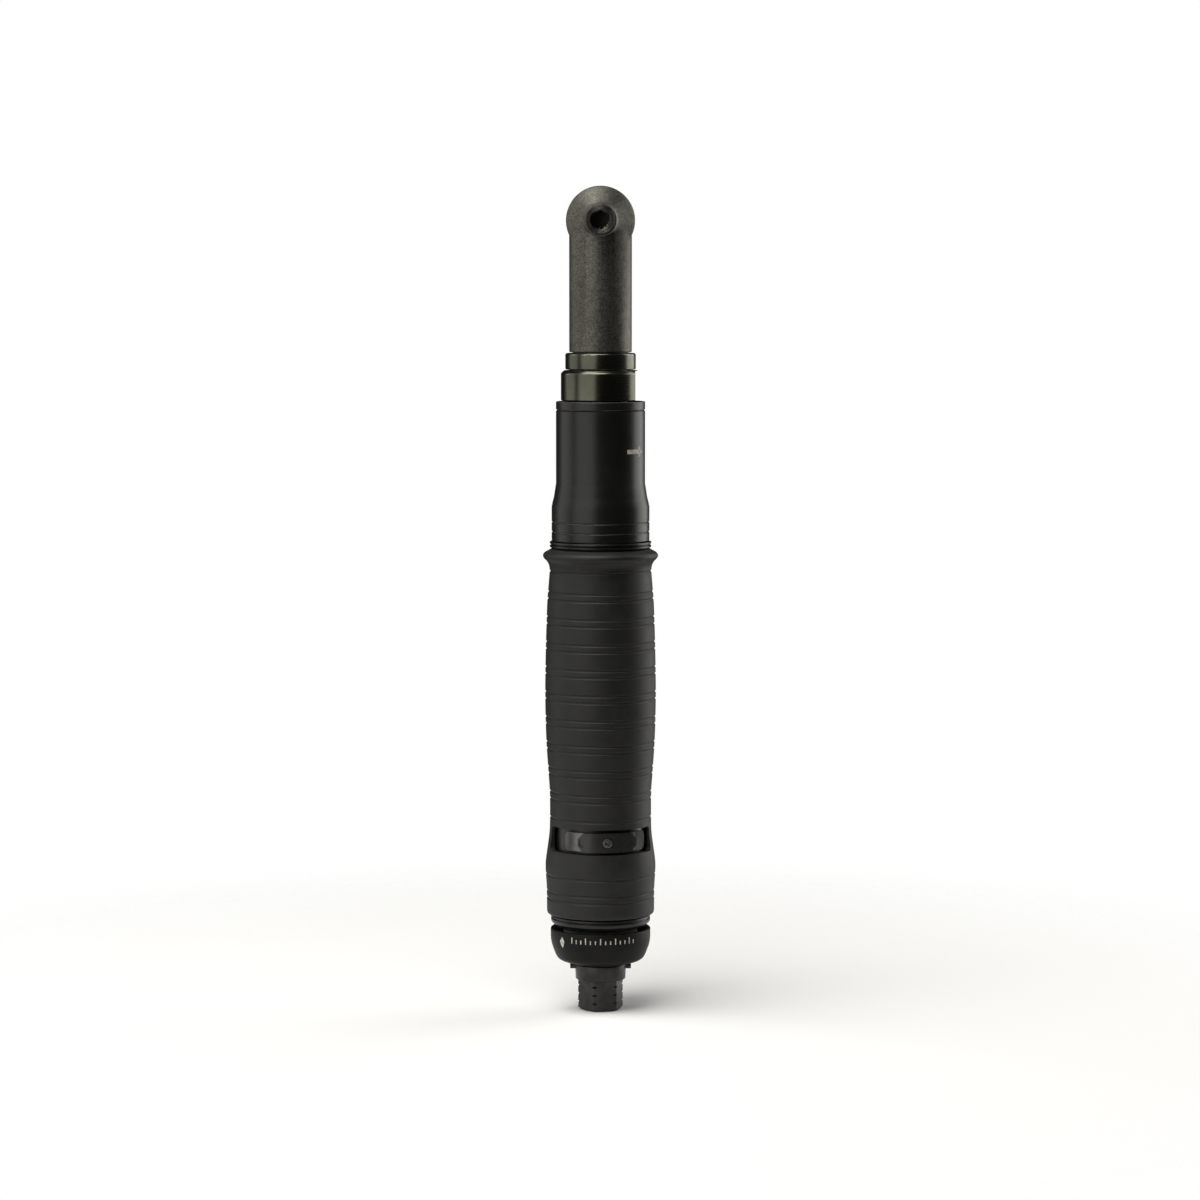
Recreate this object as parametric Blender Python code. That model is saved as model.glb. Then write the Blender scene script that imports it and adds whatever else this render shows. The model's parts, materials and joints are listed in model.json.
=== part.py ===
"""Angle-head air screwdriver: a straight rubber-gripped air motor with a right-angle output head.

The tool's axis is +Z with the head at the top; the output nose points along -Y; the origin is
the centre of the air inlet's end face. Sizes are in metres.
"""

import math

import bmesh
import bpy
from mathutils import Matrix, Vector

MM = 0.001

# Clearances
GAP = 0.3 * MM
TOOTH_PLAY = 0.24 * MM
BEVEL_PLAY = 0.75 * MM

# Air inlet: hexagonal bushing with its neck and the stem that carries the exhaust cap
HEX_ACROSS_FLATS = 15.0 * MM
HEX_LENGTH = 11.9 * MM
HEX_TURN = math.radians(43.8)
HEX_END_RADIUS = 7.0 * MM
HEX_GROOVE_RADIUS = 8.0 * MM
HEX_GROOVE_WIDTH = 0.8 * MM
HEX_GROOVE_COUNT = 3
NECK_RADIUS = 9.4 * MM
NECK_LENGTH = 5.7 * MM
PORT_RADIUS = 5.6 * MM
PORT_DEPTH = 12.4 * MM
STEM_RADIUS = 7.6 * MM
STEM_BORE = 4.5 * MM
BAIL_PIN_RADIUS = 1.15 * MM
BAIL_PIN_DROP = 1.1 * MM
BAIL_PIN_REACH = 2.1 * MM
BAIL_PIN_SEAT = 2.4 * MM

# Exhaust cap, silencer and end ring
CAP_RADIUS = 18.8 * MM
CAP_HEIGHT = 13.3 * MM
CAP_FLAT_RADIUS = 11.0 * MM
CAP_WALL = 1.5 * MM
CAP_FLOOR = 2.1 * MM
RIM_GAP = 1.2 * MM
END_RING_RADIUS = 18.7 * MM
END_RING_HEIGHT = 3.9 * MM
END_RING_BORE = 11.0 * MM
SPIGOT_HEIGHT = 6.1 * MM
EXHAUST_PORT_RADIUS = 1.3 * MM
EXHAUST_PORT_COUNT = 6

# Motor housing and rubber grip
HOUSING_RADIUS = 18.0 * MM
HOUSING_BORE = 15.6 * MM
HOUSING_LENGTH = 138.2 * MM
GRIP_END_RADIUS = 20.2 * MM
GRIP_SWELL_RADIUS = 20.7 * MM
GRIP_WAIST_RADIUS = 19.0 * MM
GRIP_BELLY_RADIUS = 20.8 * MM
GRIP_SHOULDER_RADIUS = 19.1 * MM
GRIP_LIP_RADIUS = 21.6 * MM
GRIP_TOP_RADIUS = 19.2 * MM

# Reversing ring behind the window at the front of the grip
WINDOW_HEIGHT = 9.2 * MM
WINDOW_HALF_ANGLE = math.radians(72)
WINDOW_RISE = 29.4 * MM
REVERSE_GROOVE_DEPTH = 0.8 * MM
REVERSE_RING_WALL = 1.1 * MM
REVERSE_RING_HEIGHT = 7.0 * MM
REVERSE_RING_HALF_ANGLE = math.radians(53)
REVERSE_REST = math.radians(6.5)
REVERSE_THROW = math.radians(13)
SLIDER_HALF_ANGLE = math.radians(33)
SLIDER_HEIGHT = 7.2 * MM
SLIDER_THICKNESS = 1.3 * MM
SLIDER_SCREW_RADIUS = 1.9 * MM

# Throttle valve, pin and start lever, on the side away from the output
BACKHEAD_LENGTH = 14.3 * MM
THROTTLE_RISE = 17.4 * MM
THROTTLE_PIN_RADIUS = 1.4 * MM
VALVE_RADIUS = 3.4 * MM
VALVE_STEM_RADIUS = 0.9 * MM
LEVER_PIVOT_RISE = 3.6 * MM
LEVER_CLEARANCE = 1.2 * MM
LEVER_WIDTH = 11.0 * MM
LEVER_LENGTH = 86.0 * MM
LEVER_THICKNESS = 2.0 * MM
LEVER_OPEN = math.radians(6)
LEVER_PIN_RADIUS = 1.25 * MM
LEVER_LUG = 3.0 * MM

# Air motor
REVERSE_VALVE_LENGTH = 11.9 * MM
PLATE_LENGTH = 5.6 * MM
CYLINDER_LENGTH = 47.0 * MM
CYLINDER_OFFSET = 1.6 * MM
ROTOR_RADIUS = 10.4 * MM
ROTOR_SHAFT_RADIUS = 3.0 * MM
ROTOR_BEARING_RADIUS = 7.5 * MM
VANE_COUNT = 4
VANE_THICKNESS = 1.4 * MM
VANE_DEPTH = 4.6 * MM

# Planetary reduction
GEAR_MODULE = 0.65 * MM
SUN_TEETH = 12
PLANET_TEETH = 12
PLANET_COUNT = 3
RING_GEAR_LENGTH = 18.7 * MM
GEAR_FACE = 10.0 * MM
PLANET_PIN_RADIUS = 1.3 * MM
CARRIER_THICKNESS = 4.0 * MM
CARRIER_HUB_RADIUS = 5.0 * MM
CARRIER_BEARING_LENGTH = 7.7 * MM

# Clutch with its housing, cover sleeve and bright ring
SLEEVE_RING_RADIUS = 19.0 * MM
SLEEVE_RING_HEIGHT = 2.2 * MM
COVER_LENGTH = 52.0 * MM
COVER_RADIUS = 16.65 * MM
COVER_SKIRT_RADIUS = 18.3 * MM
COVER_SKIRT_HEIGHT = 12.6 * MM
COVER_TAPER_HEIGHT = 8.2 * MM
CLUTCH_BORE = 12.1 * MM
CLUTCH_SLOT_HALF_ANGLE = math.radians(18)
CLUTCH_SLOT_HEIGHT = 10.0 * MM
DRIVER_THICKNESS = 8.0 * MM
BALL_RADIUS = 2.2 * MM
BALL_CIRCLE = 8.2 * MM
BALL_COUNT = 3
CAM_THICKNESS = 7.8 * MM
SPRING_LENGTH = 30.0 * MM
SPRING_TURNS = 5
SPRING_WIRE = 1.2 * MM
SPRING_RADIUS = 8.4 * MM
ADJUSTER_THICKNESS = 7.5 * MM
SPINDLE_RADIUS = 4.0 * MM

# Coupling nut, lock ring and neck of the head
NUT_RADIUS = 14.8 * MM
NUT_FLAT = 12.95 * MM
NUT_HEIGHT = 11.3 * MM
NUT_CHAMFER = 1.3 * MM
THREAD_RADIUS = 10.3 * MM
LOCK_RING_RADIUS = 13.15 * MM
LOCK_RING_HEIGHT = 6.1 * MM
HEAD_NECK_RADIUS = 11.68 * MM
HEAD_NECK_BORE = 8.2 * MM
HEAD_RISE = 48.8 * MM
HEAD_RADIUS = 12.85 * MM
HEAD_BACK = 11.9 * MM
CONE_START = 4.3 * MM
NOSE_RADIUS = 6.1 * MM
NOSE_REACH = 18.6 * MM
SPINDLE_REACH = 20.3 * MM
SOCKET_ACROSS_FLATS = 6.35 * MM
SOCKET_DEPTH = 10.4 * MM
SOCKET_RING_RADIUS = 4.1 * MM
SOCKET_RING_WIRE = 0.35 * MM
OUTPUT_RADIUS = 5.3 * MM
BEVEL_TEETH = 14
BEVEL_RADIUS = 6.0 * MM
BEVEL_FACE = 2.3 * MM

# Heights along the axis, each one following from the piece below it
Z_NECK_TOP = HEX_LENGTH + NECK_LENGTH
Z_CAP = Z_NECK_TOP + GAP
Z_CAP_RIM = Z_CAP + CAP_HEIGHT
Z_END_RING = Z_CAP_RIM + RIM_GAP
Z_HOUSING = Z_END_RING + END_RING_HEIGHT + GAP
Z_HOUSING_TOP = Z_HOUSING + HOUSING_LENGTH
Z_SPIGOT_TOP = Z_HOUSING + SPIGOT_HEIGHT
Z_BACKHEAD = Z_SPIGOT_TOP + GAP
Z_REVERSE_VALVE = Z_BACKHEAD + BACKHEAD_LENGTH + GAP
Z_REAR_PLATE = Z_REVERSE_VALVE + REVERSE_VALVE_LENGTH + GAP
Z_CYLINDER = Z_REAR_PLATE + PLATE_LENGTH + GAP
Z_FRONT_PLATE = Z_CYLINDER + CYLINDER_LENGTH + GAP
Z_RING_GEAR = Z_FRONT_PLATE + PLATE_LENGTH + GAP
Z_GEARS = Z_RING_GEAR + 3.6 * MM
Z_CARRIER = Z_GEARS + GEAR_FACE + GAP
Z_CARRIER_BEARING = Z_RING_GEAR + RING_GEAR_LENGTH + GAP
Z_CLUTCH_HOUSING = Z_CARRIER_BEARING + CARRIER_BEARING_LENGTH + GAP
Z_SLEEVE_RING = Z_HOUSING_TOP + GAP
Z_COVER = Z_SLEEVE_RING + SLEEVE_RING_HEIGHT + GAP
Z_COVER_TOP = Z_COVER + COVER_LENGTH
Z_DRIVER = Z_CLUTCH_HOUSING + 3.0 * MM
Z_BALLS = Z_DRIVER + DRIVER_THICKNESS + 1.1 * MM
Z_CAM = Z_BALLS + 1.1 * MM
Z_SPRING = Z_CAM + CAM_THICKNESS + GAP
Z_ADJUSTER = Z_SPRING + SPRING_LENGTH + GAP
Z_NUT = Z_COVER_TOP + GAP
Z_THREAD_TOP = Z_NUT + 0.55 * NUT_HEIGHT
Z_NUT_TOP = Z_NUT + NUT_HEIGHT
Z_LOCK_RING = Z_NUT_TOP + GAP
Z_NECK = Z_LOCK_RING + LOCK_RING_HEIGHT + GAP
Z_HEAD = Z_NECK + HEAD_RISE
Z_WINDOW = Z_HOUSING + WINDOW_RISE
LEVER_PIVOT_Y = GRIP_SWELL_RADIUS + LEVER_CLEARANCE + LEVER_THICKNESS / 2
Z_LEVER = Z_HOUSING + LEVER_PIVOT_RISE
Z_THROTTLE = Z_HOUSING + THROTTLE_RISE

BORE_FIT = HOUSING_BORE - GAP
REVERSE_RING_INNER = HOUSING_RADIUS - REVERSE_GROOVE_DEPTH + GAP
REVERSE_RING_OUTER = REVERSE_RING_INNER + REVERSE_RING_WALL
SLIDER_INNER = REVERSE_RING_OUTER + GAP
SLIDER_OUTER = SLIDER_INNER + SLIDER_THICKNESS
SUN_RADIUS = GEAR_MODULE * SUN_TEETH / 2
PLANET_RADIUS = GEAR_MODULE * PLANET_TEETH / 2
RING_TEETH = SUN_TEETH + 2 * PLANET_TEETH
PLANET_CIRCLE = SUN_RADIUS + PLANET_RADIUS
FRONT = math.radians(-90)

# Facets round the big, middle and small turned pieces
FINE = 36
MEDIUM = 24
SMALL = 14

BLACK_RUBBER = ((0.028, 0.027, 0.025), 0.75, 0.0)
BLACK_ANODISED = ((0.02, 0.02, 0.022), 0.35, 0.8)
BLACK_OXIDE = ((0.03, 0.03, 0.026), 0.18, 1.0)
PHOSPHATE = ((0.09, 0.09, 0.085), 0.62, 0.6)
DARK_STEEL = ((0.05, 0.05, 0.05), 0.35, 1.0)
BRIGHT_STEEL = ((0.55, 0.55, 0.55), 0.25, 1.0)
BLACK_PLASTIC = ((0.03, 0.03, 0.03), 0.5, 0.0)
BRONZE = ((0.42, 0.28, 0.12), 0.4, 1.0)
FELT = ((0.3, 0.3, 0.28), 0.95, 0.0)
RED_FIBRE = ((0.35, 0.12, 0.05), 0.6, 0.0)


def clear_scene():
    for thing in list(bpy.data.objects):
        bpy.data.objects.remove(thing, do_unlink=True)


def add_object(name, bm, looks=None):
    """Turn a finished bmesh into an object with its own material, or a cutter when it has none."""
    bmesh.ops.recalc_face_normals(bm, faces=bm.faces)
    mesh = bpy.data.meshes.new(name)
    bm.to_mesh(mesh)
    bm.free()
    mesh.shade_smooth()
    mesh.set_sharp_from_angle(angle=math.radians(30))
    thing = bpy.data.objects.new(name, mesh)
    bpy.context.scene.collection.objects.link(thing)
    if looks is None:
        thing.hide_render = True
        thing.display_type = "WIRE"
        return thing
    colour, roughness, metallic = looks
    material = bpy.data.materials.new(name)
    material.use_nodes = True
    shader = material.node_tree.nodes["Principled BSDF"]
    shader.inputs["Base Color"].default_value = (*colour, 1.0)
    shader.inputs["Roughness"].default_value = roughness
    shader.inputs["Metallic"].default_value = metallic
    mesh.materials.append(material)
    return thing


def combine(thing, others, operation):
    """Cut or join other objects, which then only serve as guides."""
    for other in others:
        modifier = thing.modifiers.new(other.name, "BOOLEAN")
        modifier.operation = operation
        modifier.object = other
        modifier.solver = "EXACT"


def cut(thing, *others):
    combine(thing, others, "DIFFERENCE")


def join(thing, *others):
    combine(thing, others, "UNION")


def weld(thing):
    """Close the hair-thin edges that cuts leave where facets nearly meet."""
    modifier = thing.modifiers.new("weld", "WELD")
    modifier.merge_threshold = 0.01 * MM


def turned_bmesh(profile, facets, centre=(0, 0, 0)):
    """Spin a closed outline of (radius, height) points round Z; points on the axis close the ends."""
    bm = bmesh.new()
    verts = [bm.verts.new((radius, 0, height)) for radius, height in profile]
    edges = [bm.edges.new(pair) for pair in zip(verts, verts[1:] + verts[:1])]
    bmesh.ops.spin(bm, geom=verts + edges, cent=(0, 0, 0), axis=(0, 0, 1), angle=2 * math.pi,
                   steps=facets, use_merge=True)
    bmesh.ops.remove_doubles(bm, verts=bm.verts, dist=1e-7)
    loose = [edge for edge in bm.edges if not edge.link_faces]
    bmesh.ops.delete(bm, geom=loose, context="EDGES")
    on_axis = [vert for vert in bm.verts if vert.co.xy.length < 1e-7]
    bmesh.ops.dissolve_verts(bm, verts=on_axis)
    bmesh.ops.translate(bm, verts=bm.verts, vec=centre)
    return bm


def turned(name, profile, looks=None, facets=MEDIUM, centre=(0, 0, 0)):
    return add_object(name, turned_bmesh(profile, facets, centre), looks)


def tube(name, inner, outer, bottom, top, looks=None, facets=MEDIUM, centre=(0, 0, 0)):
    """A ring of rectangular section, or a solid disc when the inner radius is zero."""
    profile = [(inner, bottom), (outer, bottom), (outer, top), (inner, top)]
    return turned(name, profile, looks, facets, centre)


def nose_axis():
    """Lays a piece turned round Z along the output's axis: its +Z end becomes the +Y end."""
    return Matrix.Translation((0, 0, Z_HEAD)) @ Matrix.Rotation(-math.pi / 2, 4, "X")


def to_nose_axis(thing):
    thing.data.transform(nose_axis())
    return thing


def rod(name, radius, start, end, looks=None, facets=SMALL):
    """A plain round bar between two points."""
    start, end = Vector(start), Vector(end)
    bm = bmesh.new()
    turn = (end - start).to_track_quat("Z", "Y").to_matrix().to_4x4()
    place = Matrix.Translation((start + end) / 2) @ turn
    bmesh.ops.create_cone(bm, cap_ends=True, segments=facets, radius1=radius, radius2=radius,
                          depth=(end - start).length, matrix=place)
    return add_object(name, bm, looks)


def prism_bmesh(outline, bottom, top):
    """Extrude a flat outline of (x, y) points along Z."""
    bm = bmesh.new()
    face = bm.faces.new([bm.verts.new((x, y, bottom)) for x, y in outline])
    grown = bmesh.ops.extrude_face_region(bm, geom=[face])["geom"]
    moved = [item for item in grown if isinstance(item, bmesh.types.BMVert)]
    bmesh.ops.translate(bm, verts=moved, vec=(0, 0, top - bottom))
    return bm


def prism(name, outline, bottom, top, looks=None):
    return add_object(name, prism_bmesh(outline, bottom, top), looks)


def box(name, low, high, looks=None):
    bm = bmesh.new()
    low, high = Vector(low), Vector(high)
    place = Matrix.Translation((low + high) / 2) @ Matrix.Diagonal((*(high - low), 1))
    bmesh.ops.create_cube(bm, size=1, matrix=place)
    return add_object(name, bm, looks)


def polar(radius, angle):
    return (radius * math.cos(angle), radius * math.sin(angle))


def arc(radius, start, end, steps, centre=(0, 0)):
    """Points along an arc, both ends included."""
    angles = [start + (end - start) * step / steps for step in range(steps + 1)]
    return [(centre[0] + radius * math.cos(a), centre[1] + radius * math.sin(a)) for a in angles]


def sector(inner, outer, start, end, steps=24):
    """Outline of a bent bar: an arc at the outer radius and one back at the inner radius."""
    return arc(outer, start, end, steps) + arc(inner, end, start, steps)


def polygon(radius, sides, turn=0.0):
    return [polar(radius, turn + 2 * math.pi * side / sides) for side in range(sides)]


def hexagon(across_flats, turn=0.0):
    return polygon(across_flats / math.sqrt(3), 6, turn)


def around(count, start=0.0):
    return [start + 2 * math.pi * index / count for index in range(count)]


def involute(x):
    return math.tan(x) - x


def gear_outline(teeth, module, tip, root, play, turn=0.0):
    """Involute gear outline; tip and root are distances from the pitch circle."""
    pitch = module * teeth / 2
    base = pitch * math.cos(math.radians(20))
    half_pitch_tooth = (math.pi * module / 2 - play) / (2 * pitch)
    half_base_tooth = half_pitch_tooth + involute(math.radians(20))
    radii = [pitch + root, pitch + 0.2 * root, pitch + tip]
    outline = []
    for centre in around(teeth, turn):
        flank = []
        for radius in radii:
            lean = involute(math.acos(base / radius)) if radius > base else 0.0
            flank.append((radius, half_base_tooth - lean))
        outline += [polar(radius, centre - half) for radius, half in flank]
        outline += [polar(radius, centre + half) for radius, half in reversed(flank)]
    return outline


def smooth_outline(points, steps):
    """Rounded (radius, height) outline through points that are each a crest, a trough or an end."""
    outline = [points[0]]
    for (radius, height), (next_radius, next_height) in zip(points, points[1:]):
        for step in range(1, steps + 1):
            share = step / steps
            ease = (1 - math.cos(math.pi * share)) / 2
            outline.append((radius + (next_radius - radius) * ease,
                            height + (next_height - height) * share))
    return outline


def make_inlet():
    corner = HEX_ACROSS_FLATS / math.sqrt(3)
    bushing = turned("inlet_bushing", [
        (PORT_RADIUS, 0), (HEX_END_RADIUS, 0), (corner + GAP, corner + GAP - HEX_END_RADIUS),
        (corner + GAP, HEX_LENGTH), (NECK_RADIUS, HEX_LENGTH), (NECK_RADIUS, Z_NECK_TOP),
        (STEM_RADIUS, Z_NECK_TOP), (STEM_RADIUS, Z_SPIGOT_TOP - GAP),
        (STEM_BORE, Z_SPIGOT_TOP - GAP), (STEM_BORE, PORT_DEPTH + 1.0 * MM),
        (PORT_RADIUS, PORT_DEPTH)], DARK_STEEL, facets=24)
    outside = tube("hex_outside", 0, 3 * corner, -HEX_LENGTH, HEX_LENGTH, facets=12)
    cut(outside, prism("hex_shape", hexagon(HEX_ACROSS_FLATS, FRONT + HEX_TURN),
                       -2 * HEX_LENGTH, 2 * HEX_LENGTH))
    cut(bushing, outside)
    for index in range(HEX_GROOVE_COUNT):
        middle = HEX_LENGTH * (index + 1) / (HEX_GROOVE_COUNT + 0.8)
        cut(bushing, tube(f"hex_groove_{index + 1}", HEX_GROOVE_RADIUS, 2 * corner,
                          middle - HEX_GROOVE_WIDTH / 2, middle + HEX_GROOVE_WIDTH / 2, facets=24))
    height = Z_NECK_TOP - BAIL_PIN_DROP
    for side, name in ((-1, "left"), (1, "right")):
        seat = side * (NECK_RADIUS - BAIL_PIN_SEAT)
        tip = side * (NECK_RADIUS + BAIL_PIN_REACH)
        cut(bushing, rod(f"pin_seat_{name}", BAIL_PIN_RADIUS + GAP, (seat, 0, height),
                         (2 * tip, 0, height), facets=12))
        rod(f"bail_pin_{name}", BAIL_PIN_RADIUS, (seat + side * GAP, 0, height), (tip, 0, height),
            BRIGHT_STEEL, facets=12)
    weld(bushing)
    screen_radius = PORT_RADIUS - GAP
    screen_base = PORT_DEPTH - 3.0 * MM
    screen = turned("inlet_screen", [
        (0, screen_base - 3.2 * MM), (2.6 * MM, screen_base - 3.2 * MM),
        (screen_radius, screen_base), (screen_radius, PORT_DEPTH - GAP - 1.0 * MM),
        (screen_radius - 0.9 * MM, PORT_DEPTH - GAP - 1.0 * MM),
        (screen_radius - 0.9 * MM, screen_base + 0.4 * MM), (2.0 * MM, screen_base - 2.3 * MM),
        (0, screen_base - 2.3 * MM)], BRONZE, facets=SMALL)
    for angle in around(4, math.radians(45)):
        x, y = polar(1.1 * MM, angle)
        cut(screen, rod(f"screen_hole_{round(math.degrees(angle))}", 0.5 * MM,
                        (x, y, 0), (x, y, PORT_DEPTH), facets=8))


def make_exhaust():
    inner = CAP_RADIUS - CAP_WALL
    floor = Z_CAP + CAP_FLOOR
    bowl = [(CAP_FLAT_RADIUS, Z_CAP), (0.8 * CAP_RADIUS, Z_CAP + 0.09 * CAP_HEIGHT),
            (0.89 * CAP_RADIUS, Z_CAP + 0.19 * CAP_HEIGHT),
            (0.945 * CAP_RADIUS, Z_CAP + 0.36 * CAP_HEIGHT),
            (0.985 * CAP_RADIUS, Z_CAP + 0.56 * CAP_HEIGHT), (CAP_RADIUS, Z_CAP + 0.75 * CAP_HEIGHT),
            (CAP_RADIUS, Z_CAP_RIM - 0.5 * MM), (CAP_RADIUS - 0.5 * MM, Z_CAP_RIM)]
    turned("exhaust_cap", [(STEM_RADIUS + GAP, Z_CAP)] + bowl + [
        (inner, Z_CAP_RIM), (inner, Z_CAP + 0.6 * CAP_HEIGHT), (0.83 * inner, floor + 0.5 * MM),
        (0.7 * inner, floor), (STEM_RADIUS + GAP, floor)], BLACK_PLASTIC, facets=FINE)
    tube("silencer", STEM_RADIUS + 0.8 * MM, 0.8 * inner, floor + 0.8 * MM, Z_CAP_RIM - 0.8 * MM,
         FELT, facets=SMALL)
    ring = turned("end_ring", [
        (END_RING_BORE, Z_END_RING), (END_RING_RADIUS - 1.4 * MM, Z_END_RING),
        (END_RING_RADIUS, Z_END_RING + 1.7 * MM), (END_RING_RADIUS, Z_HOUSING - GAP),
        (BORE_FIT, Z_HOUSING - GAP), (BORE_FIT, Z_SPIGOT_TOP), (END_RING_BORE, Z_SPIGOT_TOP)],
        DARK_STEEL, facets=FINE)
    drill_exhaust(ring, "ring_port", Z_END_RING, Z_SPIGOT_TOP)


def drill_exhaust(thing, name, bottom, top):
    """Round ports for the spent air, on one circle through every piece that it passes."""
    circle = (END_RING_BORE + BORE_FIT) / 2
    for index, angle in enumerate(around(EXHAUST_PORT_COUNT, math.pi / EXHAUST_PORT_COUNT)):
        x, y = polar(circle, angle)
        cut(thing, rod(f"{name}_{index + 1}", EXHAUST_PORT_RADIUS, (x, y, bottom - MM),
                       (x, y, top + MM), facets=8))


def make_housing():
    window_low = Z_WINDOW - WINDOW_HEIGHT / 2
    window_high = Z_WINDOW + WINDOW_HEIGHT / 2
    groove = HOUSING_RADIUS - REVERSE_GROOVE_DEPTH
    housing = turned("motor_housing", [
        (HOUSING_BORE, Z_HOUSING), (HOUSING_RADIUS, Z_HOUSING),
        (HOUSING_RADIUS, window_low - GAP), (groove, window_low - GAP),
        (groove, window_high + GAP), (HOUSING_RADIUS, window_high + GAP),
        (HOUSING_RADIUS, Z_HOUSING_TOP), (HOUSING_BORE, Z_HOUSING_TOP)], BLACK_ANODISED, facets=FINE)
    lug_root = HOUSING_RADIUS - 1.0 * MM
    lug_end = LEVER_PIVOT_Y + LEVER_PIN_RADIUS + 1.6 * MM
    lug_inside = LEVER_WIDTH / 2 + GAP
    for side, name in ((-1, "left"), (1, "right")):
        low, high = sorted((side * lug_inside, side * (lug_inside + LEVER_LUG)))
        join(housing, box(f"lug_{name}", (low, lug_root * 0.82, Z_HOUSING + 0.4 * MM),
                          (high, lug_end, Z_LEVER + 3.2 * MM)))
    reach = lug_inside + LEVER_LUG
    pivot = (LEVER_PIVOT_Y, Z_LEVER)
    cut(housing, rod("lug_hole", LEVER_PIN_RADIUS + GAP, (-2 * reach, *pivot), (2 * reach, *pivot),
                     facets=16))
    cut(housing, tube("housing_bore_again", 0, HOUSING_BORE, Z_HOUSING - MM, Z_WINDOW - 5 * MM,
                      facets=36))
    cut(housing, rod("throttle_pin_hole", THROTTLE_PIN_RADIUS + GAP, (0, 0.5 * HOUSING_BORE, Z_THROTTLE),
                     (0, 2 * HOUSING_RADIUS, Z_THROTTLE), facets=16))
    play = math.radians(7.5)
    start = FRONT + REVERSE_REST - REVERSE_THROW - play
    slot = sector(0.8 * HOUSING_BORE, 1.3 * HOUSING_RADIUS, start, FRONT + REVERSE_REST + play, 10)
    cut(housing, prism("reverse_slot", slot, Z_WINDOW - 1.6 * MM, Z_WINDOW + 1.6 * MM))
    rod("lever_pin", LEVER_PIN_RADIUS, (-reach - 0.5 * MM, *pivot), (reach + 0.5 * MM, *pivot),
        BRIGHT_STEEL, facets=16)


def make_grip():
    bottom = Z_HOUSING
    top = Z_HOUSING_TOP + GAP + 0.2 * MM
    lip = Z_HOUSING_TOP - 2.7 * MM
    inner = HOUSING_RADIUS + GAP
    wave = smooth_outline([
        (GRIP_END_RADIUS, bottom + 1.4 * MM), (GRIP_SWELL_RADIUS, bottom + 16.9 * MM),
        (GRIP_WAIST_RADIUS, bottom + 36.4 * MM)], 3)
    wave += smooth_outline([(GRIP_WAIST_RADIUS, bottom + 36.4 * MM),
                            (GRIP_BELLY_RADIUS, bottom + 83.0 * MM)], 4)[1:]
    belly = Z_HOUSING_TOP - 33.0 * MM
    wave += [(GRIP_BELLY_RADIUS - 0.3 * MM, belly),
             (GRIP_SHOULDER_RADIUS + 0.85 * MM, belly + 13.2 * MM)]
    wave += smooth_outline([(GRIP_SHOULDER_RADIUS + 0.3 * MM, belly + 20.0 * MM),
                            (GRIP_SHOULDER_RADIUS, belly + 25.2 * MM),
                            (GRIP_LIP_RADIUS, lip)], 2)
    grip = turned("grip_sleeve", [(inner, bottom), (END_RING_RADIUS + 0.2 * MM, bottom)] + wave + [
        (GRIP_LIP_RADIUS - 0.4 * MM, lip + 0.8 * MM), (GRIP_TOP_RADIUS, lip + 2.0 * MM),
        (GRIP_TOP_RADIUS, top - 0.5 * MM), (inner, top - 0.5 * MM)], BLACK_RUBBER, facets=FINE)
    window = sector(0.8 * inner, 1.4 * inner, FRONT - WINDOW_HALF_ANGLE, FRONT + WINDOW_HALF_ANGLE, 16)
    cut(grip, prism("grip_window", window, Z_WINDOW - WINDOW_HEIGHT / 2,
                    Z_WINDOW + WINDOW_HEIGHT / 2))
    half = LEVER_WIDTH / 2 + LEVER_LUG + 3 * GAP
    cut(grip, box("grip_notch", (-half, 0.3 * inner, bottom - MM), (half, 2 * inner, Z_LEVER + 4 * MM)))
    cut(grip, rod("grip_pin_hole", THROTTLE_PIN_RADIUS + 0.8 * MM, (0, 0.8 * inner, Z_THROTTLE),
                  (0, 2 * inner, Z_THROTTLE), facets=16))


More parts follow.
